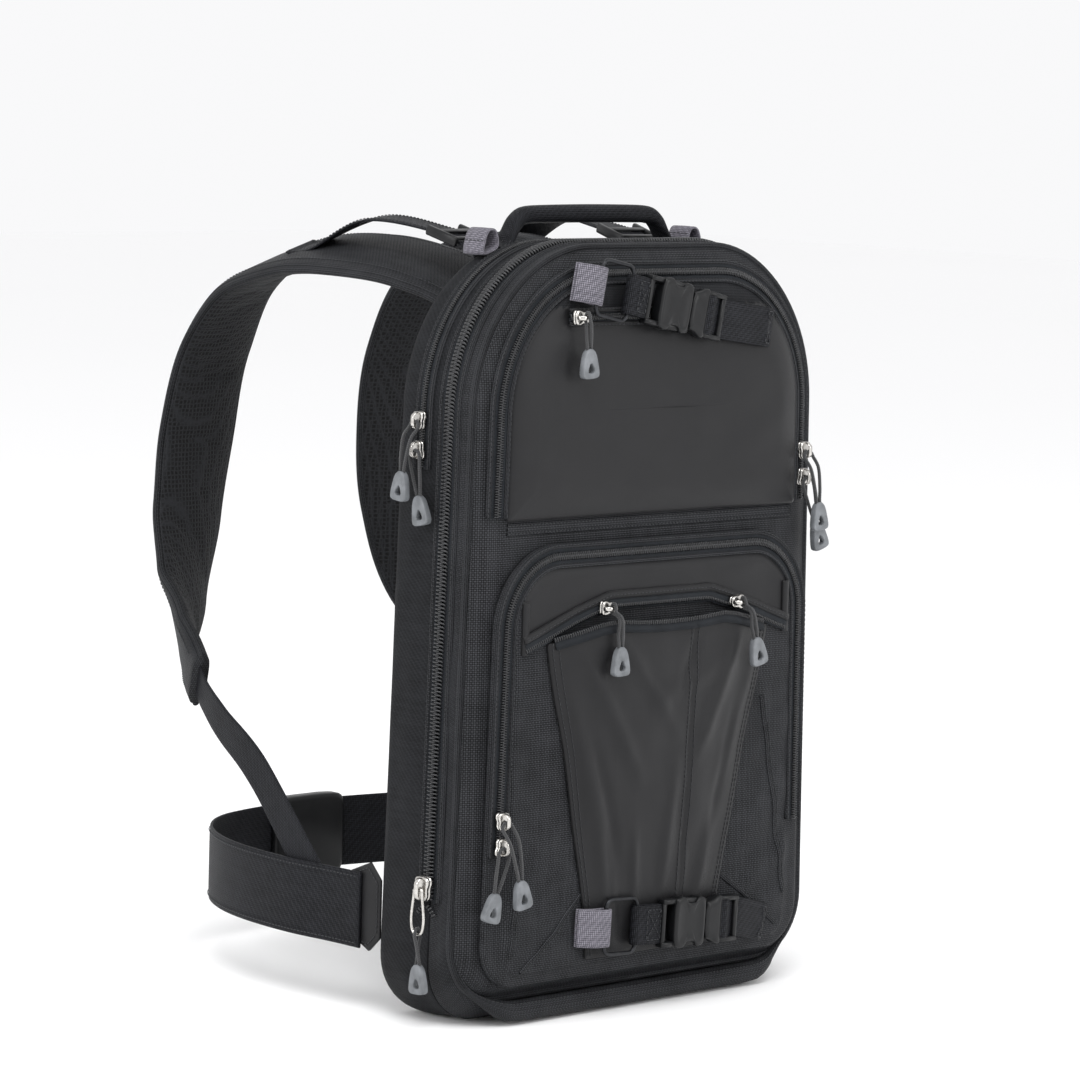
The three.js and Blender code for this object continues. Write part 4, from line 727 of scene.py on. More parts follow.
expansion_line = edge_line(PACK, 0, SHELL_SPLIT, 75, proud=0.3)
zip_along("expansion", expansion_line, "expansion_zip", 15.5, 9.0, 3.6, 2.3, 2.6)
laptop_line = edge_line(PACK, 0, LAPTOP_ZIP, LAPTOP_END, proud=0.3)
zip_along("laptop", laptop_line, "laptop_zip", 11, 4.6, 2.3, 1.55, 2.0)


def front_line(panel, inset, depth, lowest, slope):
    """An outline on the front, its cloth facing forward and leaning out by the slope."""
    found = []
    line = outline(panel, inset)
    for (x, z), way in zip(line, outward(line)):
        if z >= lowest:
            face = Vector((way.x * slope, -1, way.y * slope)).normalized()
            found.append((spot(x, depth, z), face))
    return found


zip_along("upper_pocket", front_line(PACK, 16, 91.6, MID_SEAM, 0.28), "upper_pocket_zip", 11.5, 5.0, 2.3, 1.55, 1.8)

# Upper pocket
# A smooth nylon panel, sewn in under the upper zip. It is soft, so it crowns over what is in it and
# dips a little at its seams. A strip of ribbed cloth covers its head, over the organiser zip.
# Smooth nylon: 0.45 mm threads calendered flat, which gives a soft even sheen.
smooth_nylon = woven("smooth_nylon", 0.45, 2, "#0c0c0d", "#232325", 0.4, 0.05, 0.05, slub=0.16)
smooth_nylon.node_tree.nodes["Principled BSDF"].inputs["Specular IOR Level"].default_value = 0.2
ribbed = woven("ribbed_nylon", 1.0, 2, "#020202", "#2d2e31", 0.55, 0.0, 0.35)
UPPER = {"base": MID_SEAM, "top": PACK_HEIGHT - 23, "margin": 23, "base_radius": 3, "top_radius": 77}
upper_rows = [(92.2, 0.6, 0), (93.2, 0, 0), (94.2, 0.2, 0), (95, 2, 0), (95.8, 4.5, 0), (96.6, 8, 0),
              (97.3, 12, 0), (97.8, 16, 0)]
upper_rows += [(98.1, inset, 0) for inset in range(20, 60, 4)]


def ridge(x, z, x0, z0, x1, z1, wide, high):
    """A soft fold along a line in the front plane: highest on the line, gone at its ends."""
    run = Vector((x1 - x0, z1 - z0))
    gone = Vector((x - x0, z - z0))
    share = gone.dot(run) / run.length_squared
    if not -0.15 < share < 1.15:
        return 0.0
    off = abs(gone.cross(run)) / run.length
    ends = min(1.0, max(0.0, (share + 0.15) / 0.35)) * min(1.0, max(0.0, (1.15 - share) / 0.35))
    return high * math.exp(-(off / wide) ** 2) * ends


def panel_crown(x, z, base, top, half, high):
    """A pocket's fullness: most in its middle, none at its edges."""
    return high * hump(z, base, top) ** 0.6 * max(0.0, 1 - (x / half) ** 4)


# Folds of the upper panel. Columns: two ends across and up, width and height, in mm.
UPPER_FOLDS = [
    (-96, 420, -60, 432, 6, 0.7), (-20, 330, 90, 318, 9, 0.8), (60, 350, 112, 372, 10, 0.7),
    (-110, 350, -84, 330, 9, 0.8),
    (-40, 400, 40, 408, 14, -0.6), (20, 372, 96, 396, 12, 0.6),
]


def upper_swell(x, depth, z):
    fore = panel_crown(x, z, MID_SEAM, ORGANISER_Z - 6, 128, 2.6) if z < ORGANISER_Z - 6 else 0.0
    if depth > 96:
        fore += sum(ridge(x, z, *fold) for fold in UPPER_FOLDS) + waver(x, 0, z, 34, 0.5)
        fore -= 0.8 * math.exp(-((z - ORGANISER_Z) / 5) ** 2)
    return 0, fore


upper_rings = shell_rings(UPPER, upper_rows, upper_swell)
centre_z = sum(p.z for p in upper_rings[-1]) / len(upper_rings[-1])
centre_mm = centre_z * 1000 + MOUNT_HEIGHT
closing = []
for old in upper_rings[-1]:
    x = old.x * 780
    p = spot(x, 98.1 + upper_swell(x, 98.1, centre_mm)[1], centre_mm)
    closing.append(Vector((p.x, p.y, centre_z + (old.z - centre_z) * 0.001)))
upper_rings.append(closing)
upper = skin("upper_pocket_cloth", upper_rings, [smooth_nylon, ribbed], flat_front=True,
             choose=lambda face: 1 if face.center.z * 1000 + MOUNT_HEIGHT > ORGANISER_Z + 5 else 0)
# The last face closes the panel along a line. Flat, it doesn't bend the shading of those around it.
upper.data.polygons[-1].use_smooth = False
place_on(upper, "bag", "smooth_nylon", "upper_pocket")
organiser_line = [(spot(x, UPPER_FACE - 0.1, ORGANISER_Z), FRONT) for x in
                  [-ORGANISER_HALF + 2 * ORGANISER_HALF * i / 40 for i in range(41)]]
zip_along("organiser", organiser_line, "organiser_zip", 8.5, 4.4, 2.2, 1.5, 1.2, folds=smooth_nylon)

# Middle seam
# A folded seam of coarse cloth joins the two halves of the front, with a row of stitches on each side.
seam_half = half_width(MID_SEAM) - 24
seam_line = [(spot(x, 92.15, MID_SEAM - 5), FRONT) for x in [-seam_half + 2 * seam_half * i / 60 for i in range(61)]]
folded_seam = [(-4, 0), (-3.4, 0.5), (0, 0.7), (3.4, 0.5), (4, 0), (0, -0.3)]
welt = skin("middle_welt", tape_rings(seam_line, folded_seam), ballistic)
place_on(welt, "bag", "ballistic_nylon", "front_shell")
sewn = [[(p + Vector((0, -0.0007, off)), w) for p, w in seam_line] for off in (0.0025, -0.0025)]
place_on(sew("middle_stitches", sewn), "bag", "ballistic_nylon", "front_shell")

# Lower pocket
# Coarse ballistic nylon below and beside the slash pocket, smooth nylon over it. It hangs full and
# is drawn in by the lower strap, so folds run from its corners.
LOWER = {"base": 23, "top": POCKET_TOP, "margin": POCKET_MARGIN, "base_radius": 30, "top_radius": 52}
lower_rows = [(92.2, 0.8, 0), (93.5, 0.2, 0), (95, 0.4, 0), (96.2, 1.4, -0.2), (96.9, 3, -0.5),
              (97.3, 6, -2), (97.7, 10, -4), (98.2, 14, -6), (99.3, 16, -7), (100, 18.5, -8)]
lower_rows += [(100.1, inset, -8) for inset in range(22, 118, 4)]
# Folds of the lower pocket. Columns: two ends across and up, width and height, in mm.
LOWER_FOLDS = [
    (-134, 82, -64, 44, 8, 2.6), (-132, 62, -74, 34, 6, 1.8), (-118, 118, -70, 92, 9, 2.0),
    (-128, 150, -84, 132, 8, 1.2),
    (70, 60, 134, 96, 8, 2.4), (72, 40, 130, 62, 7, 1.8), (74, 92, 126, 132, 10, 1.8), (84, 150, 130, 178, 10, 1.4),
    (96, 205, 132, 216, 10, 1.2), (-124, 205, -98, 214, 9, 1.0), (-120, 96, -88, 60, 5, -1.0),
    (92, 66, 128, 112, 5, -0.9),
    (-60, 281, 30, 275, 6, 1.0), (20, 268, 96, 276, 6, 1.0),
]


def slash_arch(x):
    """Height of the slash zip over the base, in mm."""
    reach = abs(x) / POCKET_HALF
    steps = [(0, 0.8552), (0.311, 0.8552), (0.509, 0.8283), (0.707, 0.7946), (1.2, 0.71)]
    for (a, low), (b, high) in zip(steps, steps[1:]):
        if reach <= b:
            return POCKET_TOP * (low + (high - low) * (reach - a) / (b - a))
    return POCKET_TOP * 0.71


def lower_swell(x, depth, z):
    fore = 0.0
    if depth > 97:
        full = min(1.0, (depth - 97) / 3)
        fore = full * (sum(ridge(x, z, *fold) for fold in LOWER_FOLDS) + waver(x, 0, z, 30, 0.9))
        behind = abs(x) < 100 and z < slash_arch(x) + 8
        fore = min(fore, 0.0) - 0.4 if behind and abs(x) < 52 + 0.16 * z else fore
    return 0, fore


SMOOTH_HALF = POCKET_HALF - 26


def lower_cloth(face):
    x, z = face.center.x * 1000, face.center.z * 1000 + MOUNT_HEIGHT
    return 1 if z > slash_arch(x) + 4 and abs(x) < SMOOTH_HALF and face.center.y < -0.0975 else 0


lower = skin("lower_pocket_cloth", shell_rings(LOWER, lower_rows, lower_swell), [ballistic, smooth_nylon],
             flat_front=True, choose=lower_cloth)
place_on(lower, "bag", "ballistic_nylon", "lower_pocket")
def seated(lines, piece):
    """Lines of stitches brought down onto a padded piece's cloth."""
    cloth = bvhtree.BVHTree.FromPolygons([v.co for v in piece.data.vertices],
                                         [list(f.vertices) for f in piece.data.polygons])
    found = [[cloth.find_nearest(p) for p, _ in line] for line in lines]
    return [[(place + way * 0.0001, way) for place, way, _, _ in line] for line in found]


# Seams that shape the lower pocket's corners. Columns: two ends across and up, in mm.
CORNER_SEAMS = [(-60, 78, -112, 33), (62, 78, 116, 40), (-119, 108, -121, 44), (96, 190, 121, 60)]
corner_sewn = []
lapped = [(-1.6, -0.5), (-1.4, 0.5), (-0.3, 1.0), (0.9, 0.7), (1.6, -0.5), (0, -0.8)]
for i, (x0, z0, x1, z1) in enumerate(CORNER_SEAMS):
    seam = [(spot(x0 + (x1 - x0) * t, LOWER_FACE + 2, z0 + (z1 - z0) * t), FRONT)
            for t in (k / 40 for k in range(41))]
    seam = seated([seam], lower)[0]
    fold = skin(f"corner_seam_{i}", tape_rings(seam, lapped), ballistic)
    place_on(fold, "bag", "ballistic_nylon", "lower_pocket")
    corner_sewn.append([(p + Vector((0.0032, 0, 0)), way) for p, way in seam])
place_on(sew("corner_stitches", seated(corner_sewn, lower)), "bag", "ballistic_nylon", "lower_pocket")
zip_along("lower_pocket", front_line(LOWER, 7.6, 98.0, 106, 0.1), "lower_pocket_zip", 12, 5.2, 2.4, 1.6, 1.6)

# Slash pocket
# A smooth nylon panel gathered into an hourglass over the lower pocket. Its mouth hangs open between
# two sliders, with half of the coil along the slack lip, and its middle has a double-stitched seam.
# Rows: height as a share of the pocket's top, half width as a share of the pocket's, fullness in mm.
SLASH_ROWS = [(0.8316, 0.678, 10), (0.788, 0.686, 10.2), (0.69, 0.643, 9.6), (0.556, 0.565, 8.4), (0.404, 0.502, 6.2),
              (0.283, 0.445, 3), (0.189, 0.41, 1.5), (0.121, 0.403, 0.6)]
# Folds of the slash panel. Columns: two ends across and up, width and height, in mm.
SLASH_FOLDS = [
    (-70, 226, -22, 150, 6, 2.0), (-44, 238, 8, 178, 5, 1.6), (64, 232, 30, 160, 6, 2.0), (84, 216, 52, 140, 7, 1.8),
    (-82, 205, -52, 120, 7, 1.6), (-52, 118, -40, 50, 5, 1.8), (48, 120, 34, 48, 5, 2.0), (10, 150, 4, 52, 5, 1.6),
    (-22, 110, -16, 44, 4, 1.6), (26, 236, 12, 200, 5, -1.4), (-60, 172, -34, 96, 4, -1.2), (62, 180, 44, 100, 4, -1.2),
    (-10, 196, 44, 214, 7, 1.2), (24, 96, 20, 40, 4, 1.4), (-38, 86, -34, 42, 3.5, 1.2),
]
SLASH_SEAM = 22


def slash_at(across, down):
    """The panel's outer face: across from -1 to 1, down in shares of the rows. In mm: x, depth, z."""
    at = down * (len(SLASH_ROWS) - 1)
    i = min(int(at), len(SLASH_ROWS) - 2)
    rows = [Vector(SLASH_ROWS[k]) for k in (max(i - 1, 0), i, i + 1, min(i + 2, len(SLASH_ROWS) - 1))]
    t, (a, b, c, d) = at - i, rows
    height, half, bulge = 0.5 * (2 * b + (c - a) * t + (2 * a - 5 * b + 4 * c - d) * t ** 2
                                 + (3 * b - a - 3 * c + d) * t ** 3)
    sag = 16 * 0.7 * max(0.0, abs(across) - 0.5) * 2 * max(0.0, 1 - down * 6)
    slack = 3.5 * max(0.0, 1 - (across / 0.62) ** 2) * max(0.0, 1 - down * 7)
    x, z = across * half * POCKET_HALF, height * POCKET_TOP - sag - slack
    depth = LOWER_FACE + 1.6 + max(bulge, 0.3) * (1 - across ** 4) * (1 - 0.25 * across ** 2)
    calm = min(1.0, (1 - abs(across)) * 7) * min(1.0, (1 - down) * 8 + 0.25)
    depth += calm * (sum(ridge(x, z, *fold) for fold in SLASH_FOLDS) + waver(x, 0, z, 22, 0.9))
    depth -= 1.1 * math.exp(-((x - SLASH_SEAM) / 1.6) ** 2)
    return x, depth, z


columns, levels = 96, 84
outer = [[slash_at(2 * j / columns - 1, i / levels) for j in range(columns + 1)] for i in range(levels + 1)]
slash_rings = []
for line in outer:
    slash_rings.append([spot(x, depth, z) for x, depth, z in line]
                       + [spot(x, depth - 1.4, z) for x, depth, z in reversed(line)])
slash = skin("slash_pocket_cloth", slash_rings, smooth_nylon)
place_on(slash, "bag", "smooth_nylon", "slash_pocket")


def on_slash(lines, proud=0.15):
    """Lines of across and down shares as stitches' lines on the panel."""
    return [[(spot(x, depth + proud, z), FRONT) for x, depth, z in (slash_at(a, d) for a, d in line)]
            for line in lines]


def seam_share(down, off):
    """The share across the panel at which the seam runs, off mm to its side."""
    half = (slash_at(1, down)[0] - slash_at(-1, down)[0]) / 2
    return (SLASH_SEAM + off) / half


seams = [[(side * (1 - inset), i / 60) for i in range(2, 60)] for side in (-1, 1) for inset in (0.03, 0.075)]
seams += [[(seam_share(i / 60, off), i / 60) for i in range(4, 60)] for off in (-3.2, 3.2)]
seams += [[(-0.9 + 1.8 * i / 60, 0.055) for i in range(61)]]
place_on(sew("slash_stitches", on_slash(seams)), "bag", "smooth_nylon", "slash_pocket")
lip = [(spot(x, depth + 0.25, z + 1.4), (FRONT + Vector((0, 0, 0.25))).normalized()) for x, depth, z in
       (slash_at(-0.97 + 1.94 * i / 90, 0) for i in range(91))]
lip_edge = [(-2.2, -0.3), (-2.2, 0.45), (2.0, 0.4), (5.6, 0.7), (5.6, -0.1), (2.0, -0.5)]
lip_tape = skin("slash_lip_tape", tape_rings(lip, lip_edge), tape_cloth)
place_on(lip_tape, "bag", "coil_zip", "slash_zip")
arch = [(spot(x, LOWER_FACE + 0.7, slash_arch(x) + 3.2), FRONT)
        for x in (SMOOTH_HALF * (i / 45 - 1) for i in range(91))]
arch_edge = [(-5.6, 0), (-5.6, 0.8), (-0.6, 1.1), (3.0, 0.8), (3.0, 0), (-0.6, -0.4)]
arch_tape = skin("slash_arch_tape", tape_rings(arch, arch_edge), tape_cloth)
place_on(arch_tape, "bag", "coil_zip", "slash_zip")
arch_hem = [(-8.6, -0.3), (-8.4, 0.9), (-6.4, 1.7), (-4.2, 1.6), (-3.8, 0.9), (-4.4, -0.3)]
arch_fold = skin("slash_arch_fold", tape_rings(arch, arch_hem), smooth_nylon)
place_on(arch_fold, "bag", "coil_zip", "slash_zip")
low = slash_arch(SMOOTH_HALF)
piped = [(-3, -0.4), (-2.6, 0.7), (0, 1.3), (2.4, 0.8), (3, -0.4), (0, -0.6)]
for side, label in ((-1, "left"), (1, "right")):
    edge = [(spot(side * SMOOTH_HALF, LOWER_FACE + 0.3, low + (POCKET_TOP - 34 - low) * i / 30), FRONT)
            for i in range(31)]
    fold = skin(f"smooth_edge_fold_{label}", tape_rings(edge, piped), smooth_nylon)
    place_on(fold, "bag", "ballistic_nylon", "lower_pocket")
arch_sewn = [(p + Vector((0, -0.0018, 0.0062)), w) for p, w in arch]
place_on(sew("slash_arch_stitches", [arch_sewn]), "bag", "coil_zip", "slash_zip")


def half_coil(name, line, pitch, wide, high, side):
    """One row of a coil, along the edge of an open zip."""
    points, faces = [], []
    run = [p for p, _ in line]
    length = sum((b - a).length for a, b in zip(run, run[1:])) * 1000
    count = int(length / pitch)
    spaced, ways = even_line(run, count + 1), even_line([w for _, w in line], count + 1)
    shape = [(-0.3, -0.2, 0.6), (-0.2, 0.5, 0.9), (0.2, 0.72, 1), (0.55, 0.6, 1), (0.7, 0.1, 0.7)]
    for k in range(count):
        away = ways[k].normalized()
        along = (spaced[k + 1] - spaced[k]).normalized()
        across = along.cross(away).normalized() * side
        start = len(points)
        for share, rise, fat in shape:
            core = spaced[k] + (across * share * wide + away * rise * high) / 1000
            for j in range(6):
                a = math.pi * j / 3
                points.append(core + (along * math.cos(a) * pitch * 0.34
                                      + away * math.sin(a) * high * 0.3) * fat / 1000)
        faces += strand_faces(start, len(shape), 6)
    return as_piece(name, points, faces, coil_nylon)


place_on(half_coil("slash_lip_coil", lip, 1.6, 3.2, 1.8, -1), "bag", "coil_zip", "slash_zip")
place_on(half_coil("slash_arch_coil", arch, 1.6, 3.2, 1.8, 1), "bag", "coil_zip", "slash_zip")

# Base roll
# A stuffed tube of ballistic nylon wrapped round the front lower edge, where the bag is set down. It
# tapers into the piping at both corners.
ROLL = [(0.945, 27, 0.3, 82.6), (0.91, 18.6, 0.32, 82.8), (0.87, 13, 0.38, 83.6), (0.825, 8.4, 0.52, 85.2),
        (0.78, 4.6, 0.76, 87), (0.73, 1.8, 0.95, 88),
        (0.66, 0.4, 1, 88), (0.3, 0.1, 1, 88), (0, 0, 1, 88)]
roll_line = [Vector((x * HALF_BASE, rise, share, depth)) for x, rise, share, depth in ROLL]
roll_line = smooth_line(roll_line + [Vector((-p.x, p.y, p.z, p.w)) for p in reversed(roll_line[:-1])], 130)
roll_rings = []
for x, rise, share, depth in roll_line:
    ring = []
    for j in range(24):
        a = 2 * math.pi * j / 24
        fat = 6.7 * share * (1 + 0.05 * noise.noise(Vector((x / 9, math.cos(a), math.sin(a)))))
        ring.append(spot(x, depth + math.cos(a) * fat, max(0.15, 6.8 + rise + math.sin(a) * fat)))
    roll_rings.append(ring)
base_roll = place_on(skin("base_roll_cloth", roll_rings, ballistic), "bag", "ballistic_nylon", "base_roll")
roll_seam = [(spot(x, depth + 6.75 * share * 0.72, 6.8 + rise + 6.75 * share * 0.72), Vector((0, -0.7, 0.7)))
             for x, rise, share, depth in roll_line]
place_on(sew("base_roll_stitches", [roll_seam]), "bag", "ballistic_nylon", "base_roll")

# Sliders
# Zinc die-castings, barrel polished and nickel plated. Two wings and a post guide the coil, and a
# bridge holds the cord. The expansion zip's slider is the large one.
nickel, tree, shader = new_finish("plated_nickel")
place = add_node(tree, "ShaderNodeTexCoord")
cloud = add_node(tree, "ShaderNodeTexNoise", {"Vector": place.outputs["Object"], "Scale": 500.0, "Detail": 4.0})
ramp = two_tones(tree, cloud, "#a9a5a0", "#dcdad6")
gloss = add_node(tree, "ShaderNodeMapRange", {"Value": cloud, "To Min": 0.14, "To Max": 0.36})
bump = add_node(tree, "ShaderNodeBump", {"Height": cloud, "Distance": 0.00008, "Strength": 0.5})
tree.links.new(ramp.outputs[0], shader.inputs["Base Color"])
tree.links.new(gloss.outputs[0], shader.inputs["Roughness"])
tree.links.new(bump.outputs[0], shader.inputs["Normal"])
shader.inputs["Metallic"].default_value = 1.0


def joined_skins(name, bodies, finish):
    """Several closed surfaces as one piece: each is a list of rings in metres."""
    parts = [skin(f"{name}_{i}", rings, finish, ends=ends) for i, (rings, ends) in enumerate(bodies)]
    with bpy.context.temp_override(active_object=parts[0], selected_editable_objects=parts, selected_objects=parts):
        bpy.ops.object.join()
    parts[0].name = name
    return parts[0]


def slider(name, at, wide, length, plate, bridge, rise, roof):
    """One slider in its local axes: x across the zip, y along it, z away from the cloth."""
    shape = [(-0.3, -0.5), (0.3, -0.5), (0.42, -0.28), (0.38, -0.02), (0.5, 0.16), (0.5, 0.4), (0.36, 0.5),
             (-0.36, 0.5), (-0.5, 0.4), (-0.5, 0.16), (-0.38, -0.02), (-0.42, -0.28)]
    edge = cut_corners([Vector((x * wide, y * length)) for x, y in shape], 2)
    edge = ring_from(edge, Vector((0, 0)), 40)
    layers = [(-0.9, 0.8), (-0.7, 0.95), (0.0, 1.0), (plate * 0.3, 1.0), (plate * 0.36, 0.93), (plate * 0.5, 0.93),
              (plate * 0.56, 1.0), (plate * 0.84, 1.0), (plate * 0.97, 0.93), (plate, 0.8)]
    body = [[at @ Vector((p.x * share, p.y * share, z)) for p in edge] for z, share in layers]
    reach = length * 0.42
    side_of_arch = [(1, plate - 0.8), (0.98, plate + rise * 0.4), (0.6, plate + rise - roof * 0.55)]
    arch = smooth_line([Vector((0, y * reach, z)) for y, z in (
        *((-y, z) for y, z in side_of_arch), (0, plate + rise - roof * 0.4), *side_of_arch[::-1])], 26)
    rings = []
    for i, middle in enumerate(arch):
        along = (arch[min(i + 1, len(arch) - 1)] - arch[max(i - 1, 0)]).normalized()
        away = along.cross(Vector((1, 0, 0)))
        rings.append([at @ (middle + Vector((math.cos(a), 0, 0)) * bridge / 2 * (1 + 0.1 * abs(math.sin(2 * a)))
                            + away * math.sin(a) * roof / 2) for a in (2 * math.pi * j / 12 for j in range(12))])
    return joined_skins(name, [(body, "capped"), (rings, "capped")], nickel)


for pull in PULLS:
    at = row_place(pull["place"], facing(pull["away"], math.radians(pull["turned"])))
    body = slider(f"zip_{pull['name']}", at, SLIDER_WIDTH, SLIDER_LENGTH, SLIDER_PLATE, BRIDGE_WIDTH,
                  BRIDGE_RISE, BRIDGE_ROOF)
    place_on(body, "bag", "zip_slider", f"slider_{pull['name']}")
big = slider("zip_expansion", row_place(big_place, facing(LEFT_SIDE)), 12, 15, BIG_PLATE, BIG_BRIDGE, 4.4, 1.3)
place_on(big, "bag", "zip_slider", "slider_expansion")

# The large slider's puller is a teardrop of nickel wire with a straight foot, where the cord hangs.
half, waist = PULLER_WIDTH / 2, BIG_BRIDGE / 2 + PULLER_WIRE / 2 + 0.6
drop_shape = [(-waist, -0.4), (0, 0), (waist, -0.4), (waist + 0.6, -5), (half, -PULLER_LENGTH * 0.7),
              (half * 0.6, -PULLER_LENGTH), (-half * 0.6, -PULLER_LENGTH), (-half, -PULLER_LENGTH * 0.7),
              (-waist - 0.6, -5)]
at = row_place(puller_hinge, facing(LEFT_SIDE))
# The line runs a little more than once round. It is cut where it passes the shoulder twice, early and late.
around = smooth_line([Vector((x, y, 0)) for x, y in drop_shape[-2:] + drop_shape + drop_shape[:3]], 140)
shoulder, early, late = Vector((-waist, -0.4, 0)), 40, 80
start = min(range(early), key=lambda i: (around[i] - shoulder).length)
finish_at = min(range(late, len(around)), key=lambda i: (around[i] - shoulder).length)
wire = [at @ p for p in around[start:finish_at]]
puller = tube("expansion_puller_wire", wire, (PULLER_WIRE + 0.2) / 2000, nickel, sides=12, loop=True)
place_on(puller, "puller", "zip_slider", "expansion_puller")
for side, label in ((-1, "inner"), (1, "outer")):
    line = [(spot(-half_width(74) - 1.6, SHELL_SPLIT + side * (1.5 + 6.5 * t), 75 - 7 * t ** 1.4), LEFT_SIDE)
            for t in (i / 12 for i in range(13))]
    place_on(half_coil(f"expansion_tail_{label}", line, 2.3, 3.2, 2.4, 1), "bag", "coil_zip", "expansion_zip")

# Carry handle
# A foam core wrapped in ribbed polyester webbing, bent at both ends, with flat webbing feet that are
# sewn into the rear shell's top.
# Webbing: heavy polyester yarn, 1.3 mm thick, woven in slanting ribs, slightly glossy.
webbing = woven("ribbed_webbing", 1.3, 4, "#020203", "#2b2c30", 0.5, 0.0, 0.45)
grey_webbing = woven("grey_webbing", 1.3, 4, "#3d3c42", "#838089", 0.7, 0.05, 0.35)


def band(name, stations, finish, sides=32, power=3.2, crown=0.0, count=60):
    """Webbing or padding along stations: middle and facing in metres' space, width and thickness in
    mm. power squares off the section, and crown rounds its faces."""
    flat = smooth_line([Vector((*middle, 0)) for middle, *_ in stations], count)
    facing_ways, sizes = [], []
    lengths = [0.0]
    for (a, *_), (b, *_) in zip(stations, stations[1:]):
        lengths.append(lengths[-1] + (b - a).length)
    for k in range(count):
        wanted = lengths[-1] * k / (count - 1)
        i = max(i for i in range(len(lengths) - 1) if lengths[i] <= wanted + 1e-9)
        t = (wanted - lengths[i]) / (lengths[i + 1] - lengths[i])
        ease = t * t * (3 - 2 * t)
        (_, fa, wa, ta), (_, fb, wb, tb) = stations[i], stations[i + 1]
        facing_ways.append(fa.normalized().lerp(fb.normalized(), ease).normalized())
        sizes.append((wa + (wb - wa) * ease, ta + (tb - ta) * ease))
    middles = [p.to_3d() for p in flat]
    rings, frames = [], []
    for i, middle in enumerate(middles):
        along = (middles[min(i + 1, count - 1)] - middles[max(i - 1, 0)]).normalized()
        side = facing_ways[i].cross(along).normalized()
        away = along.cross(side)
        wide, thick = sizes[i]
        ring = []
        for j in range(sides):
            a = 2 * math.pi * j / sides
            c, s = math.cos(a), math.sin(a)
            u = math.copysign(abs(c) ** (2 / power), c)
            v = math.copysign(abs(s) ** (2 / power), s) * (1 + crown * (1 - u * u))
            ring.append(middle + (side * u * wide / 2 + away * v * thick / 2) / 1000)
        rings.append(ring)
        frames.append((middle, side, away, wide, thick))
    return skin(name, rings, finish), frames


def edge_stitches(frames, inset, below=0.0, start=0, stop=None):
    """Lines of stitches along both edges of a band's outer face."""
    return [[(m + (s * sign * (w / 2 - inset) + a * (t / 2 * (1 + below) + 0.1)) / 1000, a)
             for m, s, a, w, t in frames[start:stop]] for sign in (-1, 1)]


def sewn_across(frames, shares):
    """A line of stitches on a band's outer face, each frame's place given as a share of the half width."""
    return [(m + (s * share * w / 2 + a * (t / 2 + 0.1)) / 1000, a)
            for (m, s, a, w, t), share in zip(frames, shares)]


def crossed_box(count, edge=0.8):
    """The four lines of a box of stitches with its cross, for as many frames as count."""
    slant = [edge * (2 * i / (count - 1) - 1) for i in range(count)]
    return [-edge] * count, [edge] * count, slant, slant[::-1]


skin_line = outline(PACK)


def top_at(x):
    """Height of the rear shell's top skin at a place across the bag, in mm."""
    return max(z for (px, z), (qx, _) in zip(skin_line, skin_line[1:] + skin_line[:1])
               if z > PACK_HEIGHT - 100 and min(px, qx) - 0.5 <= x <= max(px, qx) + 0.5)


HANDLE = [(1, 0, 17, 2.4), (0.9, 0.02, 17, 2.6), (0.84, 0.34, 15.5, 5), (0.77, 0.78, 13, 9),
          (0.68, 0.98, 12, 11), (0.5, 1.02, 12, 11.4), (0, 1.04, 12, 11.6)]
stations = []
for x, rise, wide, thick in HANDLE:
    up = Vector((0.35, 0, 1)) if rise < 0.1 else Vector((0.12, 0, 1))
    stations.append((spot(x * 80, 25, top_at(x * 80) + 2.0 + rise * 15), up, wide, thick))
stations += [(Vector((-m.x, m.y, m.z)), Vector((-f.x, f.y, f.z)), w, t) for m, f, w, t in reversed(stations[:-1])]
handle, frames = band("carry_handle_grip", stations, webbing, sides=32, power=2.5, count=150)
place_on(handle, "bag", "black_webbing", "carry_handle")
boxes = [sewn_across(row, [off] * len(row)) for row in (frames[-11:-2], frames[2:11]) for off in (-0.8, 0.8, 0.0)]
place_on(sew("handle_stitches", boxes), "bag", "black_webbing", "carry_handle")

# Top loops
# Short pieces of light grey webbing folded double and sewn in beside the handle.
for sign, label in ((1, "right"), (-1, "left")):
    foot = top_at(83) + 1.5
    around = [(7, -1.6), (1.6, 1.4), (1.6, 7), (4.2, 11.6), (8.6, 11.6), (11.6, 7.2), (13.3, -2.4), (7, -1.6)]
    around = smooth_line([Vector((x, z, 0)) for x, z in around], 48)
    rings = []
    for i, p in enumerate(around):
        run = (around[min(i + 1, 47)] - around[max(i - 1, 0)]).normalized()
        out = Vector((-run.y, run.x, 0))
        rings.append([spot(sign * (83 + p.x + out.x * v), 25 + u, foot + p.y + out.y * v) for u, v in (
            (-8.8, -0.8), (-9.1, 0), (-8.8, 0.8), (0, 0.95), (8.8, 0.8), (9.1, 0), (8.8, -0.8), (0, -0.95))])
    place_on(skin(f"top_loop_web_{label}", rings, grey_webbing), "bag", "grey_webbing", f"top_loop_{label}")
    fold = [[(rings[i][j] + Vector((0, 0, 0.0001)), Vector((0, 0, 1))) for j in (2, 3, 4)] for i in (14, 32)]
    place_on(sew(f"top_loop_stitches_{label}", fold), "bag", "grey_webbing", f"top_loop_{label}")

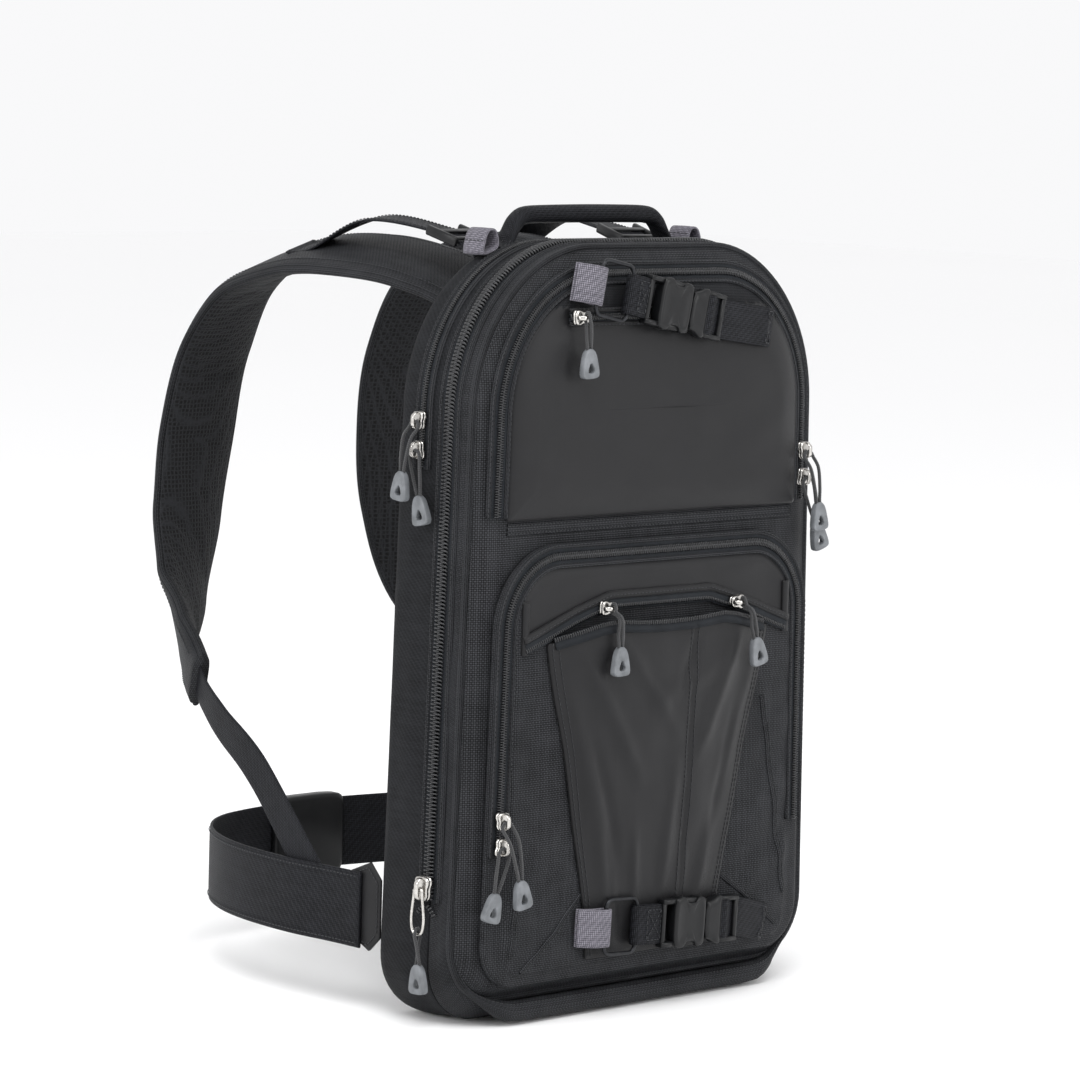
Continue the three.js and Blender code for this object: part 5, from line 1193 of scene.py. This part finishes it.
# Back pads
# Moulded foam faced with spacer mesh where the bag rests on the back, pressed into channels for air.
spacer, tree, shader = new_finish("spacer_mesh")
place = add_node(tree, "ShaderNodeTexCoord")
cells = add_node(tree, "ShaderNodeTexVoronoi",
                 {"Vector": place.outputs["Object"], "Scale": 340.0, "Randomness": 0.25},
                 feature="DISTANCE_TO_EDGE")
net = add_node(tree, "ShaderNodeMapRange", {"Value": cells, "From Max": 0.3})
ramp = two_tones(tree, net, "#242528", "#050506")
bump = add_node(tree, "ShaderNodeBump", {"Height": net, "Distance": 0.0006, "Strength": 0.8}, invert=True)
tree.links.new(ramp.outputs[0], shader.inputs["Base Color"])
tree.links.new(bump.outputs[0], shader.inputs["Normal"])
shader.inputs["Roughness"].default_value = 0.8
shader.inputs["Sheen Weight"].default_value = 0.02
shader.inputs["Specular IOR Level"].default_value = 0.25


# The pressure inside a pad, set for a visible swell.
PRESSURE = 22.0


def puff(piece, most, held, frames_run=20):
    """Fills a pad: Blender's cloth blows it up against its held points, and the result is kept, with
    no point moved further than most mm."""
    rest = [v.co.copy() for v in piece.data.vertices]
    group = piece.vertex_groups.new(name="held")
    group.add([i for i, p in enumerate(rest) if held(i, p)], 1.0, "REPLACE")
    cloth = piece.modifiers.new("fill", "CLOTH")
    cloth.settings.vertex_group_mass = "held"
    cloth.settings.use_pressure = True
    cloth.settings.uniform_pressure_force = PRESSURE
    cloth.settings.effector_weights.gravity = 0
    cloth.settings.quality = 5
    cloth.settings.mass = 0.02
    cloth.settings.tension_stiffness = 12
    cloth.settings.bending_stiffness = 0.6
    cloth.point_cache.frame_start, cloth.point_cache.frame_end = 1, frames_run
    for step in range(1, frames_run + 1):
        bpy.context.scene.frame_set(step)
    shown = piece.evaluated_get(bpy.context.evaluated_depsgraph_get()).data
    moved = [v.co.copy() for v in shown.vertices]
    piece.modifiers.remove(cloth)
    piece.vertex_groups.remove(group)
    bpy.context.scene.frame_set(1)
    for vertex, was, now in zip(piece.data.vertices, rest, moved):
        step = now - was
        if step.length * 1000 > most:
            step = step.normalized() * (most / 1000)
        vertex.co = was + step


def rounded(half, tall, corner, count=96):
    """A rounded rectangle round its own middle, in mm."""
    points = []
    for k, (sx, sz) in enumerate(((1, 1), (-1, 1), (-1, -1), (1, -1))):
        for i in range(count // 4 - 8):
            a = math.pi / 2 * (k + i / (count // 4 - 9))
            points.append(Vector((sx * (half - corner) + math.cos(a) * corner,
                                  sz * (tall - corner) + math.sin(a) * corner)))
    return even_line(points + points[:1], count + 1)[:-1]


PADS = [
    {"name": "lumbar_pad", "z": MOUNT_HEIGHT, "tall": 65, "half": 138, "channels": (-46, 46)},
    {"name": "upper_back_pad", "z": PACK_HEIGHT - 136, "tall": 46, "half": 106, "channels": (-36, 36)},
]
for pad in PADS:
    steps = [(15.7, 0), (12, 0), (8.5, 0.2), (5.5, 1.0), (3.6, 2.6), (2.4, 5.2), (1.9, 9)]
    steps += [(1.7, inset) for inset in range(13, pad["tall"] - 4, 4)]
    rings = []
    for depth, inset in steps:
        ring = []
        for p in rounded(pad["half"] - inset, pad["tall"] - inset, max(18 - inset, 2)):
            groove = sum(3.0 * math.exp(-((p.x - c) / 5) ** 2) for c in pad["channels"]) if depth < 6 else 0
            ring.append(spot(p.x, depth + groove, pad["z"] + p.y))
        rings.append(ring)
    pad_z = (pad["z"] - MOUNT_HEIGHT) / 1000
    rings.append([Vector((p.x, p.y, pad_z + (p.z - pad_z) * 0.02)) for p in rings[-1]])

    def is_pinned(i, p):
        """The back, the middle and the channels of a pad don't swell."""
        return p.y < -0.0045 or abs(p.z - pad_z) < 0.009 or any(abs(p.x * 1000 - c) < 4 for c in pad["channels"])

    cushion = skin(f"{pad['name']}_cushion", rings, spacer, flat_front=True)
    puff(cushion, 3.0, is_pinned)
    place_on(cushion, "bag", "air_mesh", pad["name"])
    rim = [spot(p.x, 12.4, pad["z"] + p.y) for p in rounded(pad["half"] + 0.6, pad["tall"] + 0.6, 18)]
    place_on(tube(f"{pad['name']}_binding", rim, 0.0019, ribbed, loop=True), "bag", "air_mesh", pad["name"])

# Shoulder straps
# Pre-curved foam straps: ballistic nylon outside, spacer mesh inside, a piped edge and a sewn line
# along each side. They run from the bag's back over the shoulder and forward to the chest.
SHOULDER_X, CHEST_Y = 78, 244
# Columns: across, behind the bag and up as shares; the way the outer face looks; width share.
SHOULDER = [
    (0.8, -0.039, 0.845, (0, -1, 0.02), 0.9), (0.82, -0.036, 0.885, (0, -1, 0.1), 0.92),
    (0.88, 0.005, 0.93, (0.1, -0.8, 0.8), 0.95), (0.98, 0.14, 0.957, (0.25, -0.25, 1), 1),
    (1.05, 0.36, 0.97, (0.32, 0, 1), 1), (1.1, 0.6, 0.962, (0.32, 0.2, 1), 1),
    (1.12, 0.82, 0.915, (0.25, 0.7, 0.8), 1), (1.13, 0.95, 0.82, (0.15, 1, 0.3), 1),
    (1.16, 1, 0.71, (0.12, 1, 0.05), 1), (1.25, 1, 0.6, (0.2, 1, 0), 1), (1.42, 0.95, 0.5, (0.4, 1, 0), 1),
    (1.62, 0.85, 0.43, (0.75, 0.85, 0), 0.9),
    (1.76, 0.74, 0.385, (1, 0.6, 0), 0.62),
]


def harness_spot(x, y, z):
    """A place on the harness from its shares, in metres."""
    return Vector((x * SHOULDER_X, y * CHEST_Y, z * PACK_HEIGHT - MOUNT_HEIGHT)) / 1000


def mirrored(piece, name, *nodes):
    """The left one of a pair, from the right one."""
    mesh = piece.data.copy()
    for vertex in mesh.vertices:
        vertex.co.x = -vertex.co.x
    mesh.flip_normals()
    twin = bpy.data.objects.new(name, mesh)
    bpy.context.scene.collection.objects.link(twin)
    return place_on(twin, "bag", piece.get("finish_slot", "ballistic_nylon"), *nodes)


def pair(piece, slot, node):
    """Fastens the right piece and its mirrored left one."""
    piece["finish_slot"] = slot
    name = piece.name
    piece.name = f"{name}_right"
    place_on(piece, "bag", slot, f"{node}_right")
    return piece, mirrored(piece, f"{name}_left", f"{node}_left")


stations = [(harness_spot(x, y, z), Vector(way), 66 * wide, 11.4) for x, y, z, way, wide in SHOULDER]
# Each section of the strap has this many points, counted round from one edge, and there are this
# many sections.
STRAP_SIDES, STRAP_ROWS = 40, 110
strap, frames = band("shoulder_strap_pad", stations, [ballistic, spacer], sides=STRAP_SIDES, power=4.0,
                     count=STRAP_ROWS)
for polygon in strap.data.polygons[:(STRAP_ROWS - 1) * STRAP_SIDES]:
    polygon.material_index = 1 if 22 <= polygon.index % STRAP_SIDES <= 37 else 0
puff(strap, 4.0, lambda i, p: (i % STRAP_SIDES in (0, 1, 39, 19, 20, 21) or i < 2 * STRAP_SIDES
                               or i > (STRAP_ROWS - 2) * STRAP_SIDES))
for piece in pair(strap, "ballistic_nylon", "shoulder_strap"):
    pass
for sign, label in ((-1, "inner"), (1, "outer")):
    edge = [m + s * sign * (w / 2 + 0.2) / 1000 for m, s, a, w, t in frames]
    pair(tube(f"strap_piping_{label}", edge, 0.0022, ballistic), "ballistic_nylon", "shoulder_strap")
pair(sew("strap_stitches", seated(edge_stitches(frames, 7.5, 0, 2, -2), strap)), "ballistic_nylon", "shoulder_strap")

# Load lifters
# 25 mm webbing from the top of each shoulder strap to a ladder lock of moulded acetal and down to
# the bag. It draws the bag's top towards the shoulder.
LIFTER = [(1.127, 0.6055, 0.9764, (0.32, 0.15, 1)), (1.115, 0.544, 0.9786, (0.32, 0.1, 1)),
          (1.04, 0.34, 1.02, (0.1, 0, 1)), (0.98, 0.1, 1.01, (0, 0, 1)),
          (0.95, 0, 0.996, (0, -0.1, 1)), (0.94, -0.046, 0.988, (0, -0.6, 1)),
          (0.94, -0.0607, 0.974, (0, -1, 0.2))]
stations = [(harness_spot(x, y, z), Vector(way), 25, 1.8) for x, y, z, way in LIFTER]
lifter, lifter_frames = band("load_lifter_web", stations, webbing, sides=16, power=6, count=70)
pair(lifter, "black_webbing", "load_lifter")
pair(sew("load_lifter_stitches", edge_stitches(lifter_frames, 2.4, 0.1)), "black_webbing", "load_lifter")

# Acetal: black moulded plastic, smooth from a polished mould, with fine handling scratches.
acetal, tree, shader = new_finish("moulded_acetal")
place = add_node(tree, "ShaderNodeTexCoord")
scuff = add_node(tree, "ShaderNodeTexNoise", {"Vector": place.outputs["Object"], "Scale": 160.0,
                                              "Detail": 6.0, "Roughness": 0.7})
grain = add_node(tree, "ShaderNodeTexNoise", {"Vector": place.outputs["Object"], "Scale": 1500.0, "Detail": 2.0})
ramp = two_tones(tree, scuff, "#09090a", "#17181a")
gloss = add_node(tree, "ShaderNodeMapRange", {"Value": scuff, "To Min": 0.24, "To Max": 0.48})
shader.inputs["Specular IOR Level"].default_value = 0.28
bump = add_node(tree, "ShaderNodeBump", {"Height": grain, "Distance": 0.00005, "Strength": 0.4})
tree.links.new(ramp.outputs[0], shader.inputs["Base Color"])
tree.links.new(gloss.outputs[0], shader.inputs["Roughness"])
tree.links.new(bump.outputs[0], shader.inputs["Normal"])


def mould(at, half, levels, count=72):
    """A closed moulding from half its outline, as rings: levels are heights with their shares."""
    rim = [Vector(p) for p in half] + [Vector((x, -y)) for x, y in reversed(half)]
    rim = cut_corners(rim, 1)
    rim = even_line(rim + rim[:1], count + 1)[:-1]
    middle = sum(rim, Vector((0, 0))) / count
    return [[at @ Vector((*(middle + (p - middle) * share), z)) for p in rim] for z, share in levels]


def rounded_bar(at, a, b, wide, thick):
    """A bar with eased edges between two local points, as rings."""
    along = (b - a).normalized()
    side = along.cross(Vector((0, 0, 1))).normalized()
    rings = []
    for t, share in ((0, 0.7), (0.03, 1), (0.5, 1), (0.97, 1), (1, 0.7)):
        middle = a.lerp(b, t)
        ring = []
        for k in range(16):
            c, s = math.cos(math.pi * k / 8), math.sin(math.pi * k / 8)
            u, v = math.copysign(abs(c) ** 0.5, c), math.copysign(abs(s) ** 0.5, s)
            ring.append(at @ (middle + side * u * wide / 2 * share + Vector((0, 0, v * thick / 2 * share))))
        rings.append(ring)
    return rings


LOCK_LENGTH, LOCK_WIDTH, LOCK_HEIGHT = 26, 33, 6.5
halfway = (harness_spot(*LIFTER[3][:3]) + harness_spot(*LIFTER[4][:3])) / 2
middle, side, away, _, _ = min(lifter_frames, key=lambda f: (f[0] - halfway).length)
lock_axes = Matrix((side.cross(away), side, away)).transposed().to_4x4()
lock_at = Matrix.Translation(middle) @ lock_axes @ Matrix.Scale(0.001, 4)
rail = LOCK_WIDTH / 2 - 1.7
lock_bars = [(Vector((-LOCK_LENGTH / 2, y, 0)), Vector((LOCK_LENGTH / 2, y, 0)), 3.4, LOCK_HEIGHT)
             for y in (-rail, rail)]
lock_bars += [(Vector((x, -rail, z)), Vector((x, rail, z)), wide, 1.8)
              for x, z, wide in ((-11.2, -2.1, 3.4), (-2.5, 2.2, 5), (5, -2.1, 3), (11.2, 2.2, 3.4))]
lock = joined_skins("ladder_lock_moulding", [(rounded_bar(lock_at, *bar), "capped") for bar in lock_bars], acetal)
pair(lock, "acetal", "ladder_lock")

# Lower straps
# 25 mm webbing from the end of each shoulder strap back to a corner tab of smooth nylon, which is
# folded, sewn round its edge and let into the seam at the bag's lower corner.
TAB_X, TAB_TIP_Z, TAB_TIP_Y = 150.5, 66, 29
tab_rim = cut_corners([Vector((y, z)) for y, z in ((-16.3, 32), (-16.3, 97), (TAB_TIP_Y, TAB_TIP_Z + 12.5),
                                                   (TAB_TIP_Y, TAB_TIP_Z - 12.5))], 1)
tab_rim = even_line(tab_rim + tab_rim[:1], 81)[:-1]
tab_middle = sum(tab_rim, Vector((0, 0))) / len(tab_rim)


def tab_place(x, share, p):
    """A point of the tab's rim, x mm off the bag and drawn in towards its middle to the share."""
    return Vector((TAB_X + x, *(tab_middle + (p - tab_middle) * share))) / 1000 - Vector((0, 0, MOUNT_HEIGHT / 1000))


tab_rings = []
for share, x in ((0.3, 0.1), (0.9, 0), (0.97, 0.15), (1, 0.7), (1, 1.7), (0.97, 2.25), (0.9, 2.0),
                 (0.84, 2.4), (0.3, 2.6)):
    tab_rings.append([tab_place(x, share, p) for p in tab_rim])
pair(skin("corner_tab_cloth", tab_rings, smooth_nylon), "smooth_nylon", "lower_strap")
tab_sewn = [(tab_place(2.5, 0.87, p), Vector((1, 0, 0))) for p in tab_rim]
pair(sew("corner_tab_stitches", [tab_sewn]), "smooth_nylon", "lower_strap")
pad_end, pad_before = Vector(SHOULDER[-1][:3]), Vector(SHOULDER[-2][:3])
leaving = (harness_spot(*pad_end) - harness_spot(*pad_before)).normalized()
stations = [(harness_spot(*pad_end) + leaving * d / 1000, Vector((1, 0.6, 0)), 25, 1.8) for d in (-6, 12.5)]
stations += [(harness_spot(1.87, 0.6, 0.335), Vector((1, 0.4, 0)), 25, 1.8),
             (harness_spot(1.94, 0.42, 0.28), Vector((1, 0.12, 0)), 25, 1.8)]
stations += [(spot(TAB_X + 3.1, -y, z), Vector((1, 0, 0)), 25, 1.8) for y, z in ((43, 73), (25, 66), (8, 60))]
lower_web, frames = band("lower_strap_web", stations, webbing, sides=16, power=6, count=80)
pair(lower_web, "smooth_nylon", "lower_strap")
cross = [sewn_across(frames[-12:-1], shares) for shares in crossed_box(11)]
pair(sew("lower_strap_stitches", cross), "smooth_nylon", "lower_strap")

# Waist belt
# One run of 48 mm webbing round the waist, sewn to the corner tabs' inner side, with a plain clasp.
BELT = [(1, 0, (1, 0, 0)), (1, 0.12, (1, 0, 0)), (1.01, 0.3, (1, 0, 0)), (0.97, 0.52, (1, 0.15, 0)),
        (0.88, 0.7, (1, 0.5, 0)), (0.73, 0.85, (0.8, 0.8, 0)), (0.52, 0.95, (0.4, 1, 0))]
belt_x = TAB_X + 2.4 + 0.3 + 1.2
stations = [(Vector((x * belt_x, y * 228, 62 - MOUNT_HEIGHT)) / 1000, Vector(way), 48, 2.4) for x, y, way in BELT]
stations.append((Vector((31.3, 228, 62 - MOUNT_HEIGHT)) / 1000, Vector((0, 1, 0)), 48, 2.4))
belt, frames = band("waist_belt_web", stations, webbing, sides=28, power=7, count=100)
pair(belt, "black_webbing", "waist_belt")
pair(sew("waist_belt_stitches", edge_stitches(frames, 3, 0.1, 1, -1)), "black_webbing", "waist_belt")
clasp_at = row_place(Vector((0, 229, 62)), facing(Vector((0, 1, 0))))
clasp_half = [(-31, 19), (-30, 25), (-24, 28), (24, 28), (30, 25), (31, 19)]
clasp_levels = ((-6, 0.9), (-5.5, 0.965), (-4, 1), (3.6, 1), (5, 0.975), (5.8, 0.93), (6, 0.86), (5.6, 0.8), (5.6, 0.3))
clasp = skin("belt_clasp_moulding", mould(clasp_at, clasp_half, clasp_levels), acetal)
place_on(clasp, "bag", "acetal", "belt_clasp")

# Tripod straps
# Two chains hold a tripod on the front: a folded loop of grey webbing, a wire hook, dark webbing with
# a box of stitches, a side-release buckle and a tail that is sewn to the bag.
# Coated wire: bent steel wire, blackened and waxed.
coated, tree, shader = new_finish("blackened_wire")
place = add_node(tree, "ShaderNodeTexCoord")
worn = add_node(tree, "ShaderNodeTexNoise", {"Vector": place.outputs["Object"], "Scale": 300.0, "Detail": 5.0})
ramp = two_tones(tree, worn, "#17181a", "#3c3d40")
gloss = add_node(tree, "ShaderNodeMapRange", {"Value": worn, "To Min": 0.25, "To Max": 0.5})
tree.links.new(ramp.outputs[0], shader.inputs["Base Color"])
tree.links.new(gloss.outputs[0], shader.inputs["Roughness"])
shader.inputs["Metallic"].default_value = 0.8
CHAINS = [
    {"name": "upper", "x": -65.73, "z": 455, "slope": -0.2, "sewn": 95.65, "hook": 105.2, "buckle": 106.0,
     "loop": 14, "web": 13, "over": 102.7, "end": Vector((93.9, -99.4, 426))},
    {"name": "lower", "x": -46.95, "z": 56, "slope": -0.05, "sewn": 101.4, "hook": 108.1, "buckle": 109.3,
     "loop": 20, "web": 20, "over": 104.3, "end": Vector((103.29, -101.4, 42))},
]
HOOK_LENGTH, HOOK_WIDTH, HOOK_WIRE = 27.4, 34.4, 2.6


def folded(name, at, length, sink, side, width, finish):
    """Webbing folded round a bar at the origin with its ends together: x along it, z away."""
    bend = 3.0
    path = [((-length, -sink + 0.2), (0, -1)), ((-length * 0.62, -bend), (0, -1))]
    path += [((math.cos(a) * bend, math.sin(a) * bend), (math.cos(a), math.sin(a)))
             for a in (math.pi * (k / 8 - 0.5) for k in range(9))]
    path += [((-length * 0.5, bend - 0.5), (0.1, 1)), ((-length, -sink + 2.4), (-0.2, 1))]
    turn = at.to_3x3().normalized()
    stations = [(at @ Vector((x, 0, z * side)), turn @ Vector((u, 0, v * side)), width, 1.7) for (x, z), (u, v) in path]
    return band(name, stations, finish, sides=16, power=6, count=64)


for chain in CHAINS:
    name, slope = chain["name"], chain["slope"]
    heading = Vector((math.cos(slope), 0, math.sin(slope)))

    def on_chain(distance, depth, turned=0.0):
        """Local axes on the chain, that far along it and at that depth."""
        where = Vector((chain["x"], -depth, chain["z"])) + heading * distance
        return row_place(where, facing(FRONT, slope + turned))

    at = on_chain(0, chain["hook"])
    loop_web, _ = folded(f"{name}_loop_web", at, chain["loop"], chain["hook"] - chain["sewn"], 1, 24, grey_webbing)
    place_on(loop_web, "bag", "grey_webbing", f"{name}_grey_loop")
    corner = 5
    bend = [Vector((HOOK_LENGTH / 2, 0, 0))
            + Vector((sx * (HOOK_LENGTH / 2 - corner) + math.cos(a) * corner,
                      sy * (HOOK_WIDTH / 2 - corner) + math.sin(a) * corner, 0))
            for k, (sx, sy) in enumerate(((1, 1), (-1, 1), (-1, -1), (1, -1)))
            for a in (math.pi / 2 * (k + i / 6) for i in range(7))]
    bend = even_line(bend + bend[:1], 121)[:-1]
    hook = tube(f"{name}_hook_wire", [at @ p for p in bend], HOOK_WIRE / 2000, coated, sides=12, loop=True)
    place_on(hook, "bag", "acetal", f"{name}_hook")
    web_at = on_chain(HOOK_LENGTH, chain["hook"], math.pi)
    sink, length = chain["hook"] - chain["buckle"] + 3, chain["web"]
    web, _ = folded(f"{name}_web_cloth", web_at, length, sink, -1, 25, webbing)
    place_on(web, "bag", "black_webbing", f"{name}_web")
    box = [(-length * s, sink + 0.9 + (3.1 - sink) * min(1, (1 - s) / 0.38)) for s in (0.95, 0.8, 0.62, 0.45, 0.3)]
    away = [[(web_at @ Vector((x, off, z + 0.1)), FRONT) for x, z in box] for off in (-9.5, 9.5)]
    away += [[(web_at @ Vector((box[k][0], off, box[k][1] + 0.1)), FRONT) for off in (-9.5, 0, 9.5)] for k in (0, 4)]
    away += [[(web_at @ Vector((x, sign * (9.5 - 19 * k / 4), z + 0.1)), FRONT) for k, (x, z) in enumerate(box)]
             for sign in (-1, 1)]
    place_on(sew(f"{name}_web_stitches", away), "bag", "black_webbing", f"{name}_web")

    # The buckle: a hollow half whose windows show the other half's prongs, and a ladder of bars.
    at = on_chain(HOOK_LENGTH + length + 34.3, chain["buckle"])
    body_half = [(-24, 14.6), (-19, 16.5), (-15.5, 16.5), (-13, 12.4), (-5.5, 12.2), (-3.4, 16.2),
                 (1.7, 15.6), (3.4, 12.6)]
    body_levels = ((-4.2, 0.94), (-3.6, 0.985), (2.6, 1), (3.6, 0.985), (4.3, 0.94), (4.4, 0.8), (4.2, 0.76),
                   (4.2, 0.3))
    catch_half = [(4.2, 11.2), (11, 13), (15, 15.4), (18, 15.6), (18.5, 14)]
    bodies = [
        (mould(at, body_half, body_levels), "capped"),
        (mould(at, catch_half, ((-3.8, 0.93), (-3.2, 1), (2.8, 1), (3.7, 0.93), (3.8, 0.6))), "capped"),
    ]
    # Columns: two ends along and across the buckle, width and height, in mm.
    bars = []
    for side in (-1, 1):
        bars += [(-16, side * 13.6, 5, side * 12.4, 4.4, 5.2), (17, side * 13.4, 34, side * 12.9, 3.4, 7.2),
                 (-34, side * 13.6, -22, side * 13.6, 3.4, 6.8)]
    bars += [(22.5, -14, 22.5, 14, 3.6, 4.6), (32.2, -14, 32.2, 14, 3.6, 6.6), (-32.3, -14, -32.3, 14, 3.4, 5.4)]
    for x0, y0, x1, y1, wide, thick in bars:
        bodies.append((rounded_bar(at, Vector((x0, y0, 0)), Vector((x1, y1, 0)), wide, thick), "capped"))
    place_on(joined_skins(f"{name}_buckle_moulding", bodies, acetal), "bag", "acetal", f"{name}_buckle")

    # The tail: laid over the ladder's bars, then along the bag to its folded and sewn end.
    start = HOOK_LENGTH + length + 34.3
    over = [(13, 1.2), (19, 3.0), (22.5, 3.6), (27.5, 1.2), (32.2, -0.6), (39, -0.6)]
    stations = [(on_chain(start + d, chain["buckle"] + z).translation, FRONT, 25, 1.7) for d, z in over]
    last, end = stations[-1][0], row_place(chain["end"], Matrix.Identity(4)).translation
    near = last.lerp(end, 0.8)
    near.y = -chain["over"] / 1000
    doubled = last.lerp(end, 0.86) * 0.4 + end * 0.3 + near * 0.3
    stations += [(near, FRONT, 25, 1.7), (doubled, FRONT, 25, 3.2), (end, FRONT, 25, 3.0)]
    tail, frames = band(f"{name}_tail_web", stations, webbing, sides=16, power=6, count=72)
    place_on(tail, "bag", "black_webbing", f"{name}_tail")
    cross = [sewn_across(frames[-10:-1], shares) for shares in crossed_box(9)]
    place_on(sew(f"{name}_tail_stitches", cross), "bag", "black_webbing", f"{name}_tail")
